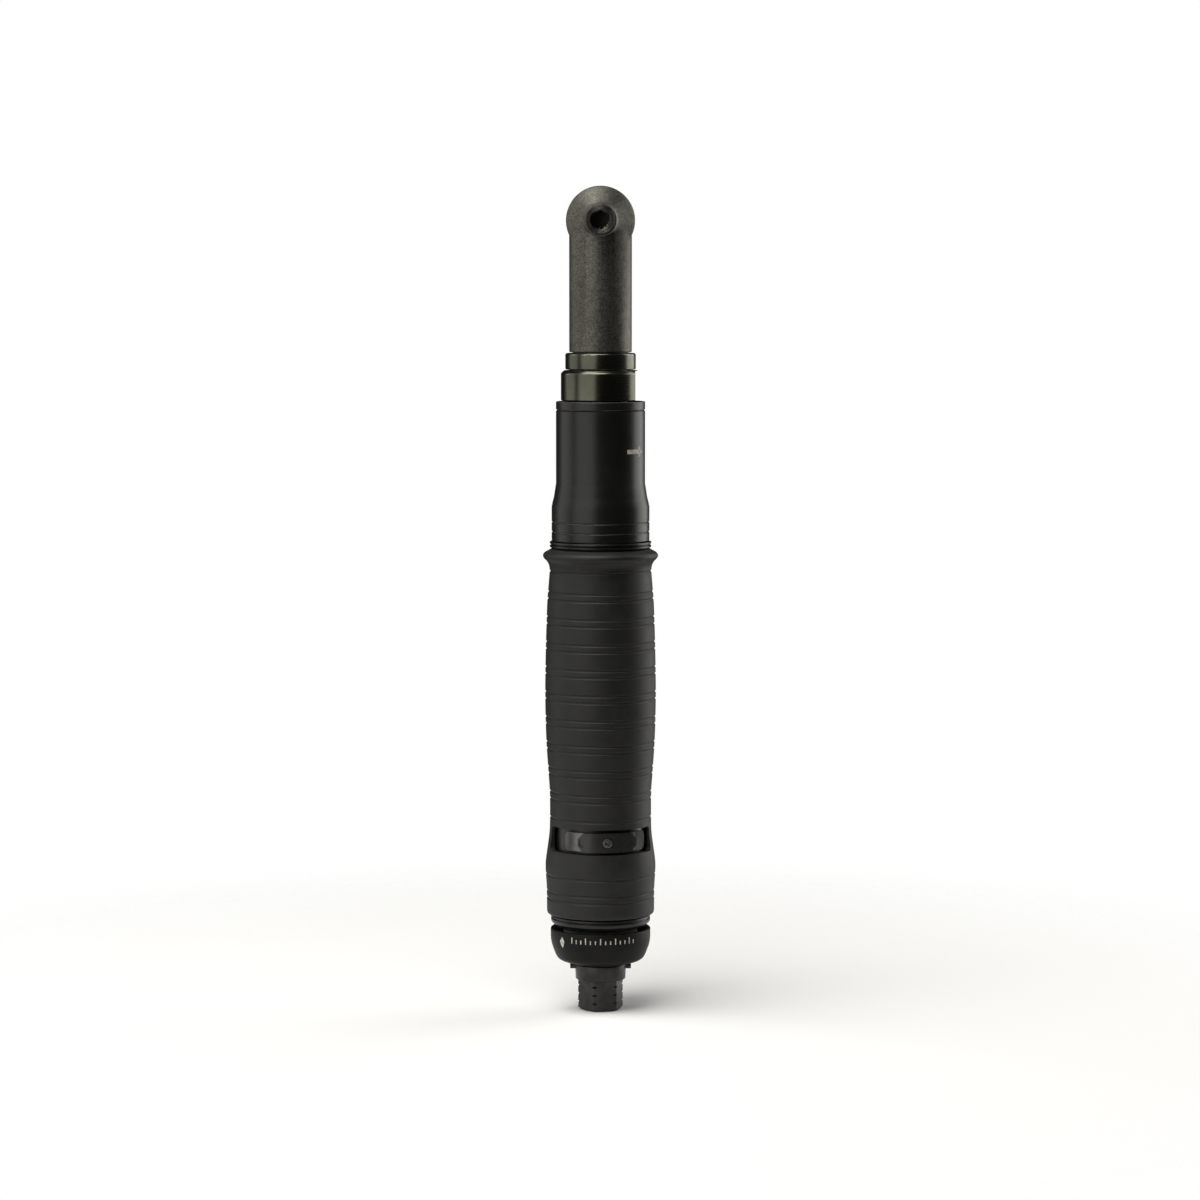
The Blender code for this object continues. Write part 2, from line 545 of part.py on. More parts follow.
def make_reverse():
    middle = FRONT + REVERSE_REST
    ring = prism("reverse_ring",
                 sector(REVERSE_RING_INNER, REVERSE_RING_OUTER, middle - REVERSE_RING_HALF_ANGLE,
                        middle + REVERSE_RING_HALF_ANGLE, 28),
                 Z_WINDOW - REVERSE_RING_HEIGHT / 2, Z_WINDOW + REVERSE_RING_HEIGHT / 2, DARK_STEEL)
    plate = prism("reverse_slider",
                  sector(SLIDER_INNER, SLIDER_OUTER, middle - SLIDER_HALF_ANGLE,
                         middle + SLIDER_HALF_ANGLE, 20),
                  Z_WINDOW - SLIDER_HEIGHT / 2, Z_WINDOW + SLIDER_HEIGHT / 2, BLACK_PLASTIC)
    valve = tube("reverse_valve", 0.6 * BORE_FIT, BORE_FIT, Z_REVERSE_VALVE,
                 Z_REVERSE_VALVE + REVERSE_VALVE_LENGTH, DARK_STEEL)
    screw_depth = 0.82 * BORE_FIT
    shank = 0.6 * SLIDER_SCREW_RADIUS
    out = Vector((*polar(1, middle), 0))
    height = Vector((0, 0, Z_WINDOW))
    head_low = out * (SLIDER_INNER + 0.5 * MM) + height
    screw = rod("reverse_screw", SLIDER_SCREW_RADIUS, head_low,
                out * (SLIDER_OUTER - 0.1 * MM) + height, BRIGHT_STEEL, facets=16)
    join(screw, rod("screw_shank", shank, out * screw_depth + height,
                    out * (SLIDER_OUTER - 0.7 * MM) + height, facets=12))
    cross = Matrix.Translation(out * SLIDER_OUTER + height) @ out.to_track_quat("Z", "Y").to_matrix().to_4x4()
    for turn in (0, math.pi / 2):
        bm = bmesh.new()
        size = Matrix.Diagonal((2.2 * MM, 0.55 * MM, 1.0 * MM, 1))
        bmesh.ops.create_cube(bm, size=1, matrix=cross @ Matrix.Rotation(turn, 4, "Z") @ size)
        cut(screw, add_object(f"screw_cross_{round(turn)}", bm))
    far = out * (1.5 * SLIDER_OUTER) + height
    seat = rod("screw_head_seat", SLIDER_SCREW_RADIUS + GAP, out * (SLIDER_INNER + 0.2 * MM) + height,
               far, facets=16)
    hole = rod("screw_hole", shank + GAP, out * (0.75 * BORE_FIT) + height, far, facets=16)
    cut(plate, seat, hole)
    cut(ring, hole)
    cut(valve, hole)


def make_throttle():
    backhead = turned("backhead", [
        (VALVE_RADIUS + 1.4 * MM, Z_BACKHEAD), (BORE_FIT, Z_BACKHEAD),
        (BORE_FIT, Z_BACKHEAD + BACKHEAD_LENGTH), (3.4 * MM, Z_BACKHEAD + BACKHEAD_LENGTH),
        (3.4 * MM, Z_BACKHEAD + 6.5 * MM), (VALVE_RADIUS + 1.4 * MM, Z_BACKHEAD + 6.5 * MM)],
        DARK_STEEL)
    drill_exhaust(backhead, "backhead_port", Z_BACKHEAD, Z_BACKHEAD + BACKHEAD_LENGTH)
    cut(backhead, rod("throttle_pin_bore", THROTTLE_PIN_RADIUS + GAP, (0, 0, Z_THROTTLE),
                      (0, 2 * BORE_FIT, Z_THROTTLE), facets=16))
    seat_low = Z_BACKHEAD + 4.4 * MM
    tube("throttle_seat", 2.3 * MM, VALVE_RADIUS + 1.4 * MM - GAP, seat_low,
         Z_BACKHEAD + 6.5 * MM - GAP, BLACK_RUBBER, facets=SMALL)
    valve_top = seat_low - GAP
    turned("throttle_valve", [
        (0, valve_top - 1.2 * MM), (VALVE_RADIUS, valve_top - 1.2 * MM), (VALVE_RADIUS, valve_top),
        (VALVE_STEM_RADIUS, valve_top), (VALVE_STEM_RADIUS, Z_THROTTLE + 1.6 * MM),
        (0, Z_THROTTLE + 1.6 * MM)],
        BRIGHT_STEEL, facets=SMALL)
    rest = VALVE_STEM_RADIUS + GAP
    lever_face = LEVER_PIVOT_Y - LEVER_THICKNESS / 2 + (Z_THROTTLE - Z_LEVER) * math.tan(LEVER_OPEN)
    rod("throttle_pin", THROTTLE_PIN_RADIUS, (0, rest, Z_THROTTLE),
        (0, lever_face - GAP - 0.2 * MM, Z_THROTTLE), BRIGHT_STEEL, facets=16)
    coil("throttle_spring", 2.5 * MM, 0.35 * MM, Z_BACKHEAD - 3.5 * MM,
         valve_top - 1.2 * MM - GAP - 0.8 * MM, 3, 10)


def make_lever():
    """A bent flat bar with a rolled eye, drawn pressed against the grip and then let out."""
    eye = LEVER_PIN_RADIUS + GAP + 1.1 * MM
    top = LEVER_LENGTH
    half = LEVER_THICKNESS / 2
    outline = arc(eye, math.radians(-160), math.radians(60), 10)[::-1]
    side = [(-half, eye * 0.8), (-half, top - 4 * MM), (0.8 * MM, top), (3.0 * MM, top + 0.6 * MM),
            (3.2 * MM, top - 1.2 * MM), (half + 0.7 * MM, top - 2.4 * MM), (half, top - 6 * MM)]
    bm = prism_bmesh(side + outline, -LEVER_WIDTH / 2, LEVER_WIDTH / 2)
    stand = Matrix(((0, 0, 1, 0), (1, 0, 0, 0), (0, 1, 0, 0), (0, 0, 0, 1)))
    place = Matrix.Translation((0, LEVER_PIVOT_Y, Z_LEVER)) @ Matrix.Rotation(-LEVER_OPEN, 4, "X")
    bmesh.ops.transform(bm, matrix=place @ stand, verts=bm.verts)
    lever = add_object("start_lever", bm, DARK_STEEL)
    cut(lever, rod("lever_eye", LEVER_PIN_RADIUS + GAP, (-LEVER_WIDTH, LEVER_PIVOT_Y, Z_LEVER),
                   (LEVER_WIDTH, LEVER_PIVOT_Y, Z_LEVER), facets=16))


def make_motor():
    shaft = ROTOR_SHAFT_RADIUS
    for name, low, outward in (("rear", Z_REAR_PLATE, -1), ("front", Z_FRONT_PLATE, 1)):
        high = low + PLATE_LENGTH
        web = 1.6 * MM
        near, far = (high, low) if outward < 0 else (low, high)
        step = near + outward * web
        turned(f"{name}_end_plate", [
            (shaft + 2 * GAP, near), (BORE_FIT, near), (BORE_FIT, far),
            (ROTOR_BEARING_RADIUS + GAP, far), (ROTOR_BEARING_RADIUS + GAP, step),
            (shaft + 2 * GAP, step)], BRIGHT_STEEL)
        tube(f"{name}_rotor_bearing", shaft + GAP, ROTOR_BEARING_RADIUS,
             *sorted((step + outward * GAP, far)), BRIGHT_STEEL, facets=SMALL)
    cylinder = tube("motor_cylinder", 0, BORE_FIT, Z_CYLINDER, Z_CYLINDER + CYLINDER_LENGTH,
                    DARK_STEEL)
    bore = ROTOR_RADIUS + CYLINDER_OFFSET + GAP
    cut(cylinder, tube("cylinder_bore", 0, bore, Z_CYLINDER - MM, Z_FRONT_PLATE + MM,
                       centre=(CYLINDER_OFFSET, 0, 0)))
    low, high = Z_CYLINDER + GAP, Z_CYLINDER + CYLINDER_LENGTH - GAP
    rotor = turned("rotor", [
        (0, Z_REAR_PLATE + GAP), (shaft, Z_REAR_PLATE + GAP), (shaft, low), (ROTOR_RADIUS, low),
        (ROTOR_RADIUS, high), (shaft, high), (shaft, Z_RING_GEAR + 2.0 * MM),
        (1.6 * MM, Z_RING_GEAR + 2.0 * MM), (1.6 * MM, Z_GEARS + GEAR_FACE),
        (0, Z_GEARS + GEAR_FACE)], BRIGHT_STEEL)
    slot_root = ROTOR_RADIUS - VANE_DEPTH - GAP
    for index, angle in enumerate(around(VANE_COUNT)):
        turn = Matrix.Rotation(angle, 4, "Z")
        slot = box(f"vane_slot_{index + 1}", (slot_root, -VANE_THICKNESS / 2 - GAP, low - MM),
                   (2 * ROTOR_RADIUS, VANE_THICKNESS / 2 + GAP, high + MM))
        vane = box(f"vane_{index + 1}", (slot_root + GAP, -VANE_THICKNESS / 2, low),
                   (ROTOR_RADIUS - 0.1 * MM, VANE_THICKNESS / 2, high), RED_FIBRE)
        slot.data.transform(turn)
        vane.data.transform(turn)
        cut(rotor, slot)


def planet_angles():
    """Places nearest to an even spacing where a planet meshes with the sun and the ring at once."""
    meshing = SUN_TEETH + RING_TEETH
    return [2 * math.pi * round(index * meshing / PLANET_COUNT) / meshing
            for index in range(PLANET_COUNT)]


def make_gears():
    sun_turn = 0 if PLANET_TEETH % 2 else math.pi / SUN_TEETH
    sun = prism("sun_pinion",
                gear_outline(SUN_TEETH, GEAR_MODULE, 0.85 * GEAR_MODULE, -1.1 * GEAR_MODULE,
                             TOOTH_PLAY, sun_turn),
                Z_GEARS, Z_GEARS + GEAR_FACE, BRIGHT_STEEL)
    cut(sun, rod("sun_bore", 1.6 * MM + GAP, (0, 0, Z_GEARS - MM), (0, 0, Z_CARRIER + MM)))
    ring = tube("ring_gear", 0, BORE_FIT, Z_RING_GEAR, Z_RING_GEAR + RING_GEAR_LENGTH, DARK_STEEL)
    teeth = gear_outline(RING_TEETH, GEAR_MODULE, 1.1 * GEAR_MODULE, -0.8 * GEAR_MODULE,
                         -TOOTH_PLAY)
    cut(ring, prism("ring_teeth", teeth, Z_RING_GEAR - MM, Z_CARRIER_BEARING + MM))
    plate_radius = SUN_RADIUS + 2 * PLANET_RADIUS - 1.1 * MM
    carrier = turned("planet_carrier", [
        (0, Z_CARRIER), (plate_radius, Z_CARRIER), (plate_radius, Z_CARRIER + CARRIER_THICKNESS),
        (CARRIER_HUB_RADIUS, Z_CARRIER + CARRIER_THICKNESS),
        (CARRIER_HUB_RADIUS, Z_CAM - 2 * GAP), (0, Z_CAM - 2 * GAP)], BRIGHT_STEEL, facets=SMALL)
    for index, angle in enumerate(planet_angles()):
        x, y = polar(PLANET_CIRCLE, angle)
        outline = gear_outline(PLANET_TEETH, GEAR_MODULE, 0.85 * GEAR_MODULE, -1.1 * GEAR_MODULE,
                               TOOTH_PLAY, angle * (1 - RING_TEETH / PLANET_TEETH))
        planet = prism(f"planet_gear_{index + 1}", [(x + px, y + py) for px, py in outline],
                       Z_GEARS, Z_GEARS + GEAR_FACE, BRIGHT_STEEL)
        cut(planet, rod(f"planet_bore_{index + 1}", PLANET_PIN_RADIUS + GAP,
                        (x, y, Z_GEARS - MM), (x, y, Z_CARRIER + MM), facets=16))
        join(carrier, rod(f"planet_pin_{index + 1}", PLANET_PIN_RADIUS, (x, y, Z_GEARS - MM),
                          (x, y, Z_CARRIER + 2 * MM), facets=16))
    tube("carrier_bearing", CARRIER_HUB_RADIUS + GAP, BORE_FIT, Z_CARRIER_BEARING,
         Z_CARRIER_BEARING + CARRIER_BEARING_LENGTH, BRIGHT_STEEL, facets=SMALL)


def ball(name, centre, radius, looks=None):
    bm = bmesh.new()
    bmesh.ops.create_uvsphere(bm, u_segments=12, v_segments=8, radius=radius,
                              matrix=Matrix.Translation(centre))
    return add_object(name, bm, looks)


def coil(name, radius, wire, bottom, top, turns, sides_per_turn, looks=BRIGHT_STEEL):
    """A helical spring: a hexagonal wire swept round the axis, with capped ends."""
    bm = bmesh.new()
    steps = turns * sides_per_turn
    loops = []
    for step in range(steps + 1):
        angle = 2 * math.pi * step / sides_per_turn
        height = bottom + wire + (top - bottom - 2 * wire) * step / steps
        loop = []
        for side in range(6):
            across, up = polar(wire, math.pi * side / 3)
            x, y = polar(radius + across, angle)
            loop.append(bm.verts.new((x, y, height + up)))
        loops.append(loop)
    for first, second in zip(loops, loops[1:]):
        for side in range(6):
            after = (side + 1) % 6
            bm.faces.new((first[side], first[after], second[after], second[side]))
    bm.faces.new(loops[0])
    bm.faces.new(loops[-1])
    return add_object(name, bm, looks)


def make_clutch():
    shaft = SPINDLE_RADIUS + GAP
    driver = tube("clutch_driver", CARRIER_HUB_RADIUS + GAP, CLUTCH_BORE - GAP, Z_DRIVER,
                  Z_DRIVER + DRIVER_THICKNESS, BRIGHT_STEEL)
    cam = tube("clutch_cam", shaft, CLUTCH_BORE - GAP, Z_CAM, Z_CAM + CAM_THICKNESS, DARK_STEEL)
    for index, angle in enumerate(around(BALL_COUNT, math.radians(30))):
        centre = (*polar(BALL_CIRCLE, angle), Z_BALLS)
        ball(f"clutch_ball_{index + 1}", centre, BALL_RADIUS, BRIGHT_STEEL)
        pocket = ball(f"ball_pocket_{index + 1}", centre, BALL_RADIUS + GAP)
        cut(driver, pocket)
        cut(cam, pocket)
    coil("clutch_spring", SPRING_RADIUS, SPRING_WIRE, Z_SPRING, Z_SPRING + SPRING_LENGTH,
         SPRING_TURNS, 12)
    adjuster = tube("clutch_adjuster", shaft, CLUTCH_BORE - GAP, Z_ADJUSTER,
                    Z_ADJUSTER + ADJUSTER_THICKNESS, BRIGHT_STEEL)
    for index, angle in enumerate(around(6)):
        notch = box(f"adjuster_notch_{index + 1}", (CLUTCH_BORE - 2 * MM, -MM, Z_ADJUSTER + 2 * MM),
                    (2 * CLUTCH_BORE, MM, Z_ADJUSTER + 5.5 * MM))
        notch.data.transform(Matrix.Rotation(angle, 4, "Z"))
        cut(adjuster, notch)
    spindle = turned("clutch_spindle", [
        (0, Z_CAM - GAP), (SPINDLE_RADIUS, Z_CAM - GAP), (SPINDLE_RADIUS, Z_THREAD_TOP),
        (0, Z_THREAD_TOP)], BRIGHT_STEEL, facets=SMALL)
    cut(spindle, prism("drive_square_hole", polygon(2.6 * MM + GAP * math.sqrt(2), 4),
                       Z_THREAD_TOP - 8 * MM, Z_THREAD_TOP + MM))


def make_clutch_housing():
    low = Z_CLUTCH_HOUSING
    shoulder = Z_COVER_TOP - GAP
    housing = turned("clutch_housing", [
        (CLUTCH_BORE, low), (BORE_FIT, low), (BORE_FIT, shoulder), (THREAD_RADIUS, shoulder),
        (THREAD_RADIUS, Z_THREAD_TOP), (SPINDLE_RADIUS + GAP, Z_THREAD_TOP),
        (SPINDLE_RADIUS + GAP, shoulder - 6 * MM), (CLUTCH_BORE, shoulder - 8 * MM)], DARK_STEEL)
    middle = Z_ADJUSTER + ADJUSTER_THICKNESS / 2
    half = CLUTCH_SLOT_HEIGHT / 2
    half_angle = CLUTCH_SLOT_HALF_ANGLE
    outline = sector(0.7 * CLUTCH_BORE, 1.5 * BORE_FIT, -half_angle, half_angle, 6)
    cut(housing, prism("housing_slot", outline, middle - half, middle + half))
    tube("sleeve_ring", HOUSING_BORE, SLEEVE_RING_RADIUS, Z_SLEEVE_RING,
         Z_SLEEVE_RING + SLEEVE_RING_HEIGHT, BLACK_OXIDE, facets=FINE)
    skirt = Z_COVER + COVER_SKIRT_HEIGHT
    profile = [(HOUSING_BORE, Z_COVER), (COVER_SKIRT_RADIUS - GAP, Z_COVER),
               (COVER_SKIRT_RADIUS, Z_COVER + GAP)]
    profile += [(COVER_SKIRT_RADIUS, skirt), (COVER_RADIUS, skirt + COVER_TAPER_HEIGHT)]
    profile += [(COVER_RADIUS, Z_COVER_TOP - GAP), (COVER_RADIUS - GAP, Z_COVER_TOP),
                (HOUSING_BORE, Z_COVER_TOP)]
    cover = turned("clutch_cover", profile, BLACK_ANODISED, facets=FINE)
    outline = sector(0.9 * HOUSING_BORE, 1.3 * COVER_RADIUS, math.pi / 2 - half_angle,
                     math.pi / 2 + half_angle, 6)
    cut(cover, prism("cover_slot", outline, middle - half, middle + half))


def make_neck():
    bore = THREAD_RADIUS + GAP
    nut = turned("coupling_nut", [
        (bore, Z_NUT), (NUT_RADIUS, Z_NUT), (NUT_RADIUS, Z_NUT_TOP - NUT_CHAMFER),
        (NUT_RADIUS - NUT_CHAMFER, Z_NUT_TOP), (bore, Z_NUT_TOP)], BLACK_OXIDE, facets=FINE)
    cut(nut, box("nut_flat", (NUT_FLAT, -2 * NUT_RADIUS, Z_NUT - MM),
                 (2 * NUT_RADIUS, 2 * NUT_RADIUS, Z_NUT_TOP - 0.2 * NUT_CHAMFER)))
    turned("lock_ring", [
        (bore, Z_LOCK_RING), (LOCK_RING_RADIUS, Z_LOCK_RING),
        (LOCK_RING_RADIUS, Z_LOCK_RING + LOCK_RING_HEIGHT - 0.6 * MM),
        (LOCK_RING_RADIUS - 0.6 * MM, Z_LOCK_RING + LOCK_RING_HEIGHT),
        (bore, Z_LOCK_RING + LOCK_RING_HEIGHT)], BLACK_OXIDE, facets=FINE)


def make_head():
    """The head is turned round the output axis, the neck round the tool's axis."""
    cone_end = CONE_START + HEAD_RADIUS - NOSE_RADIUS
    cavity = HEAD_RADIUS - 3.2 * MM
    bearing_front, bearing_back = -9.6 * MM, -6.6 * MM
    head = to_nose_axis(turned("head_housing", [
        (0, HEAD_BACK), (HEAD_RADIUS - 0.5 * MM, HEAD_BACK), (HEAD_RADIUS, HEAD_BACK - 0.5 * MM),
        (HEAD_RADIUS, -CONE_START), (NOSE_RADIUS, -cone_end),
        (NOSE_RADIUS - 0.15 * MM, -NOSE_REACH + 0.4 * MM),
        (NOSE_RADIUS - 0.5 * MM, -NOSE_REACH), (0, -NOSE_REACH)], PHOSPHATE, facets=FINE))
    join(head, turned("neck", [
        (0, Z_THREAD_TOP + GAP), (THREAD_RADIUS, Z_THREAD_TOP + GAP), (THREAD_RADIUS, Z_NECK),
        (HEAD_NECK_RADIUS, Z_NECK), (HEAD_NECK_RADIUS, Z_HEAD - 3.0 * MM),
        (HEAD_NECK_RADIUS - 0.4 * MM, Z_HEAD - 2.6 * MM), (0, Z_HEAD - 2.6 * MM)], facets=FINE))
    cut(head, to_nose_axis(turned("head_cavity", [
        (0, -2 * NOSE_REACH), (OUTPUT_RADIUS + GAP, -2 * NOSE_REACH),
        (OUTPUT_RADIUS + GAP, bearing_front), (OUTPUT_RADIUS + 1.4 * MM, bearing_front),
        (OUTPUT_RADIUS + 1.4 * MM, bearing_back), (cavity, bearing_back), (cavity, HEAD_BACK + MM),
        (0, HEAD_BACK + MM)], facets=36)))
    cut(head, rod("neck_bore", HEAD_NECK_BORE, (0, 0, Z_THREAD_TOP - MM), (0, 0, Z_HEAD - 5 * MM),
                  facets=MEDIUM))
    weld(head)
    shaft = OUTPUT_RADIUS - 1.5 * MM
    to_nose_axis(tube("front_spindle_bearing", shaft + GAP, OUTPUT_RADIUS + 1.1 * MM,
                      bearing_front + GAP, bearing_back - GAP, BRIGHT_STEEL, facets=SMALL))
    rear = 9.0 * MM
    to_nose_axis(tube("rear_spindle_bearing", 2.6 * MM + GAP, cavity - GAP, rear,
                      HEAD_BACK - GAP, BRIGHT_STEEL, facets=SMALL))
    to_nose_axis(turned("head_cap", [
        (0, HEAD_BACK + GAP), (HEAD_RADIUS - 0.6 * MM, HEAD_BACK + GAP),
        (HEAD_RADIUS - 0.6 * MM, HEAD_BACK + 1.4 * MM), (HEAD_RADIUS - 1.4 * MM, HEAD_BACK + 2.2 * MM),
        (0, HEAD_BACK + 2.2 * MM)], DARK_STEEL, facets=48))
    spindle = to_nose_axis(turned("output_spindle", [
        (0, -SPINDLE_REACH), (OUTPUT_RADIUS - 0.3 * MM, -SPINDLE_REACH),
        (OUTPUT_RADIUS, -SPINDLE_REACH + 0.3 * MM), (OUTPUT_RADIUS, bearing_front),
        (shaft, bearing_front), (shaft, bearing_back), (2.9 * MM, bearing_back + 0.4 * MM),
        (2.9 * MM, rear - 2 * MM), (2.6 * MM, rear - 2 * MM), (2.6 * MM, HEAD_BACK - GAP),
        (0, HEAD_BACK - GAP)], DARK_STEEL, facets=MEDIUM))
    socket = prism("bit_socket", hexagon(SOCKET_ACROSS_FLATS, math.radians(30)),
                   -SPINDLE_REACH - MM, -SPINDLE_REACH + SOCKET_DEPTH)
    ring_place = -SPINDLE_REACH + 0.5 * SOCKET_DEPTH
    ring_room = SOCKET_RING_RADIUS + SOCKET_RING_WIRE + GAP
    ring_half = SOCKET_RING_WIRE + GAP
    cut(spindle, to_nose_axis(socket),
        to_nose_axis(tube("socket_groove", 0, ring_room, ring_place - ring_half,
                          ring_place + ring_half, facets=SMALL)))
    wire = [(SOCKET_RING_RADIUS + px, ring_place + py) for px, py in polygon(SOCKET_RING_WIRE, 6)]
    to_nose_axis(turned("bit_retainer", wire, BRIGHT_STEEL, facets=SMALL))
    bevel_gear("spindle_gear", nose_axis(), math.pi / BEVEL_TEETH, 2.9 * MM + GAP, 1.6 * MM)


def bevel_gear(name, place, turn, bore, hub):
    """A mitre gear round Z with its cone's tip at the origin and its teeth facing down to it."""
    module = 2 * BEVEL_RADIUS / BEVEL_TEETH
    outline = gear_outline(BEVEL_TEETH, module, 0.35 * module, -0.95 * module, BEVEL_PLAY, turn)
    bm = prism_bmesh(outline, 0, BEVEL_FACE)
    inner = (BEVEL_RADIUS - BEVEL_FACE) / BEVEL_RADIUS
    for vert in bm.verts:
        if vert.co.z < BEVEL_FACE / 2:
            vert.co.x *= inner
            vert.co.y *= inner
        vert.co.z += BEVEL_RADIUS - BEVEL_FACE
    gear = add_object(name, bm, BRIGHT_STEEL)
    back = BEVEL_RADIUS + hub
    hub = tube(f"{name}_hub", 0, 4.6 * MM, BEVEL_RADIUS - BEVEL_FACE / 2, back, facets=SMALL)
    hole = rod(f"{name}_bore", bore, (0, 0, 0), (0, 0, back + MM))
    join(gear, hub)
    cut(gear, hole)
    for piece in (gear, hub, hole):
        piece.data.transform(place)


def make_drive_shaft():
    top = Z_HEAD - BEVEL_RADIUS - 3.2 * MM
    low = Z_THREAD_TOP + GAP
    radius = SPINDLE_RADIUS
    neck = 2.2 * MM
    shaft = turned("drive_shaft", [
        (0, low), (radius, low), (radius, top), (neck, top),
        (neck, Z_HEAD - BEVEL_RADIUS + BEVEL_FACE - 0.2 * MM),
        (0, Z_HEAD - BEVEL_RADIUS + BEVEL_FACE - 0.2 * MM)], BRIGHT_STEEL, facets=SMALL)
    join(shaft, prism("drive_square", polygon(2.6 * MM, 4), low - 6 * MM, low + MM))
    upside_down = Matrix.Translation((0, 0, Z_HEAD)) @ Matrix.Rotation(math.pi, 4, "Y")
    turn = math.pi / 2 + math.pi / BEVEL_TEETH
    bevel_gear("drive_pinion", upside_down, turn, neck + GAP, 2.6 * MM)
    tube("shaft_bearing", radius + GAP, HEAD_NECK_BORE - GAP, top - 8.5 * MM, top - 3.5 * MM,
         BRIGHT_STEEL, facets=SMALL)


def main():
    clear_scene()
    make_inlet()
    make_exhaust()
    make_housing()
    make_grip()
    make_reverse()
    make_throttle()
    make_lever()
    make_motor()
    make_gears()
    make_clutch()
    make_clutch_housing()
    make_neck()
    make_head()
    make_drive_shaft()


main()
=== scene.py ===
"""Looks of the angle air screwdriver: turned shells, moulded rubber, printed marks and finishes.

Every size is in metres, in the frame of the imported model: the tool stands on its air inlet with its
axis on +Z, and the output nose points along -Y.
"""

import json
import math

import bmesh
import bpy
from bpy.props import FloatProperty, FloatVectorProperty, IntProperty, PointerProperty
from mathutils import Matrix, Vector


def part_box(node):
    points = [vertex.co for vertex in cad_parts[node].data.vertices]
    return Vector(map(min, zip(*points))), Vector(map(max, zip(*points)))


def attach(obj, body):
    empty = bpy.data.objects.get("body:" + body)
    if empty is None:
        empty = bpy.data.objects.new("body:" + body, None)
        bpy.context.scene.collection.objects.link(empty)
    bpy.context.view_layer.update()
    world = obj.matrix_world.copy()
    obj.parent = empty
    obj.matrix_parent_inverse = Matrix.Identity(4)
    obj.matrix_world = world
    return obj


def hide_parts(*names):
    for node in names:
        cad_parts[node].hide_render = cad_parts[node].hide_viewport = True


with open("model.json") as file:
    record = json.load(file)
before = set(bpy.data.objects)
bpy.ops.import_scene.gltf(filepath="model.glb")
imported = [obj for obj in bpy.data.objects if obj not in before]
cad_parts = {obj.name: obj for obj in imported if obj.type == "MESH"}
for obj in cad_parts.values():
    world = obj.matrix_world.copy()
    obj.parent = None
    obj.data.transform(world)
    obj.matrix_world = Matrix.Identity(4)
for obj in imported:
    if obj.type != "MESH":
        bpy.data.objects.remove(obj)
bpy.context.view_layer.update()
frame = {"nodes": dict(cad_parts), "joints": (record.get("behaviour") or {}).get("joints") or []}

bl_info = {
    "name": "Angle air screwdriver",
    "version": (1, 0, 0),
    "blender": (4, 5, 0),
    "location": "View3D > Sidebar > Air tool",
    "description": "Builds the shells, rubber, marks and finishes of a pneumatic angle screwdriver",
    "category": "Object",
}

MM = 0.001
FRONT = math.radians(-90)
FULL_TURN = 2 * math.pi
SAME_PLACE = 1e-7
WELD = 0.004 * MM
SMOOTH_ANGLE = 32.0
PRINT_STEP, PRINT_ROUNDS = 0.3 * MM, 5

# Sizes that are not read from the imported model
BODY_BORE = 15.6 * MM
INLET_FLATS, INLET_HEX_TOP = 15.0 * MM, 11.9 * MM
INLET_HEX_TURN = FRONT + math.radians(-46.2)
NUT_FLAT = 12.95 * MM
FLANGE_FRONT, FLANGE_BACK = -9.6 * MM, -6.6 * MM
SOCKET_FLATS, SOCKET_DEPTH = 6.35 * MM, 10.4 * MM


def middle_of(name):
    """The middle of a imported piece."""
    low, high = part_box(name)
    return (low + high) / 2


def joint_place(name):
    """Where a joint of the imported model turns."""
    found = [joint for joint in frame["joints"] if joint["name"] == name]
    return Vector(found[0]["pos_m"])


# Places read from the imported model
GRIP_LOW, GRIP_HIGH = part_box("grip_sleeve")
COVER_LOW, COVER_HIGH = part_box("clutch_cover")
NUT_LOW, NUT_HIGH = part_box("coupling_nut")
LOCK_LOW, LOCK_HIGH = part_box("lock_ring")
HEAD_LOW, HEAD_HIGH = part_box("head_housing")
BACK_LOW, BACK_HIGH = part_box("head_cap")
SPINDLE_LOW, SPINDLE_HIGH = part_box("output_spindle")
CAP_LOW, CAP_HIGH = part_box("exhaust_cap")
END_LOW, END_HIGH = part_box("end_ring")
SLEEVE_LOW, SLEEVE_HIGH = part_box("sleeve_ring")
INLET_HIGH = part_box("inlet_bushing")[1]
RING_LOW, RING_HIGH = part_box("reverse_ring")
SLIDER_LOW, SLIDER_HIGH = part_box("reverse_slider")
HOUSING_LOW, HOUSING_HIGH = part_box("motor_housing")
LEVER_LOW, LEVER_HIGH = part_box("start_lever")
PIN_LOW, PIN_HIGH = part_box("lever_pin")
Z_HEAD = middle_of("output_spindle").z
Z_WINDOW = middle_of("reverse_ring").z
Z_NECK = LOCK_HIGH.z + 0.3 * MM
SCREW_MIDDLE = middle_of("reverse_screw")
REVERSER_REST = math.atan2(SCREW_MIDDLE.x, -SCREW_MIDDLE.y)


# ---------------------------------------------------------------- shader wrapper


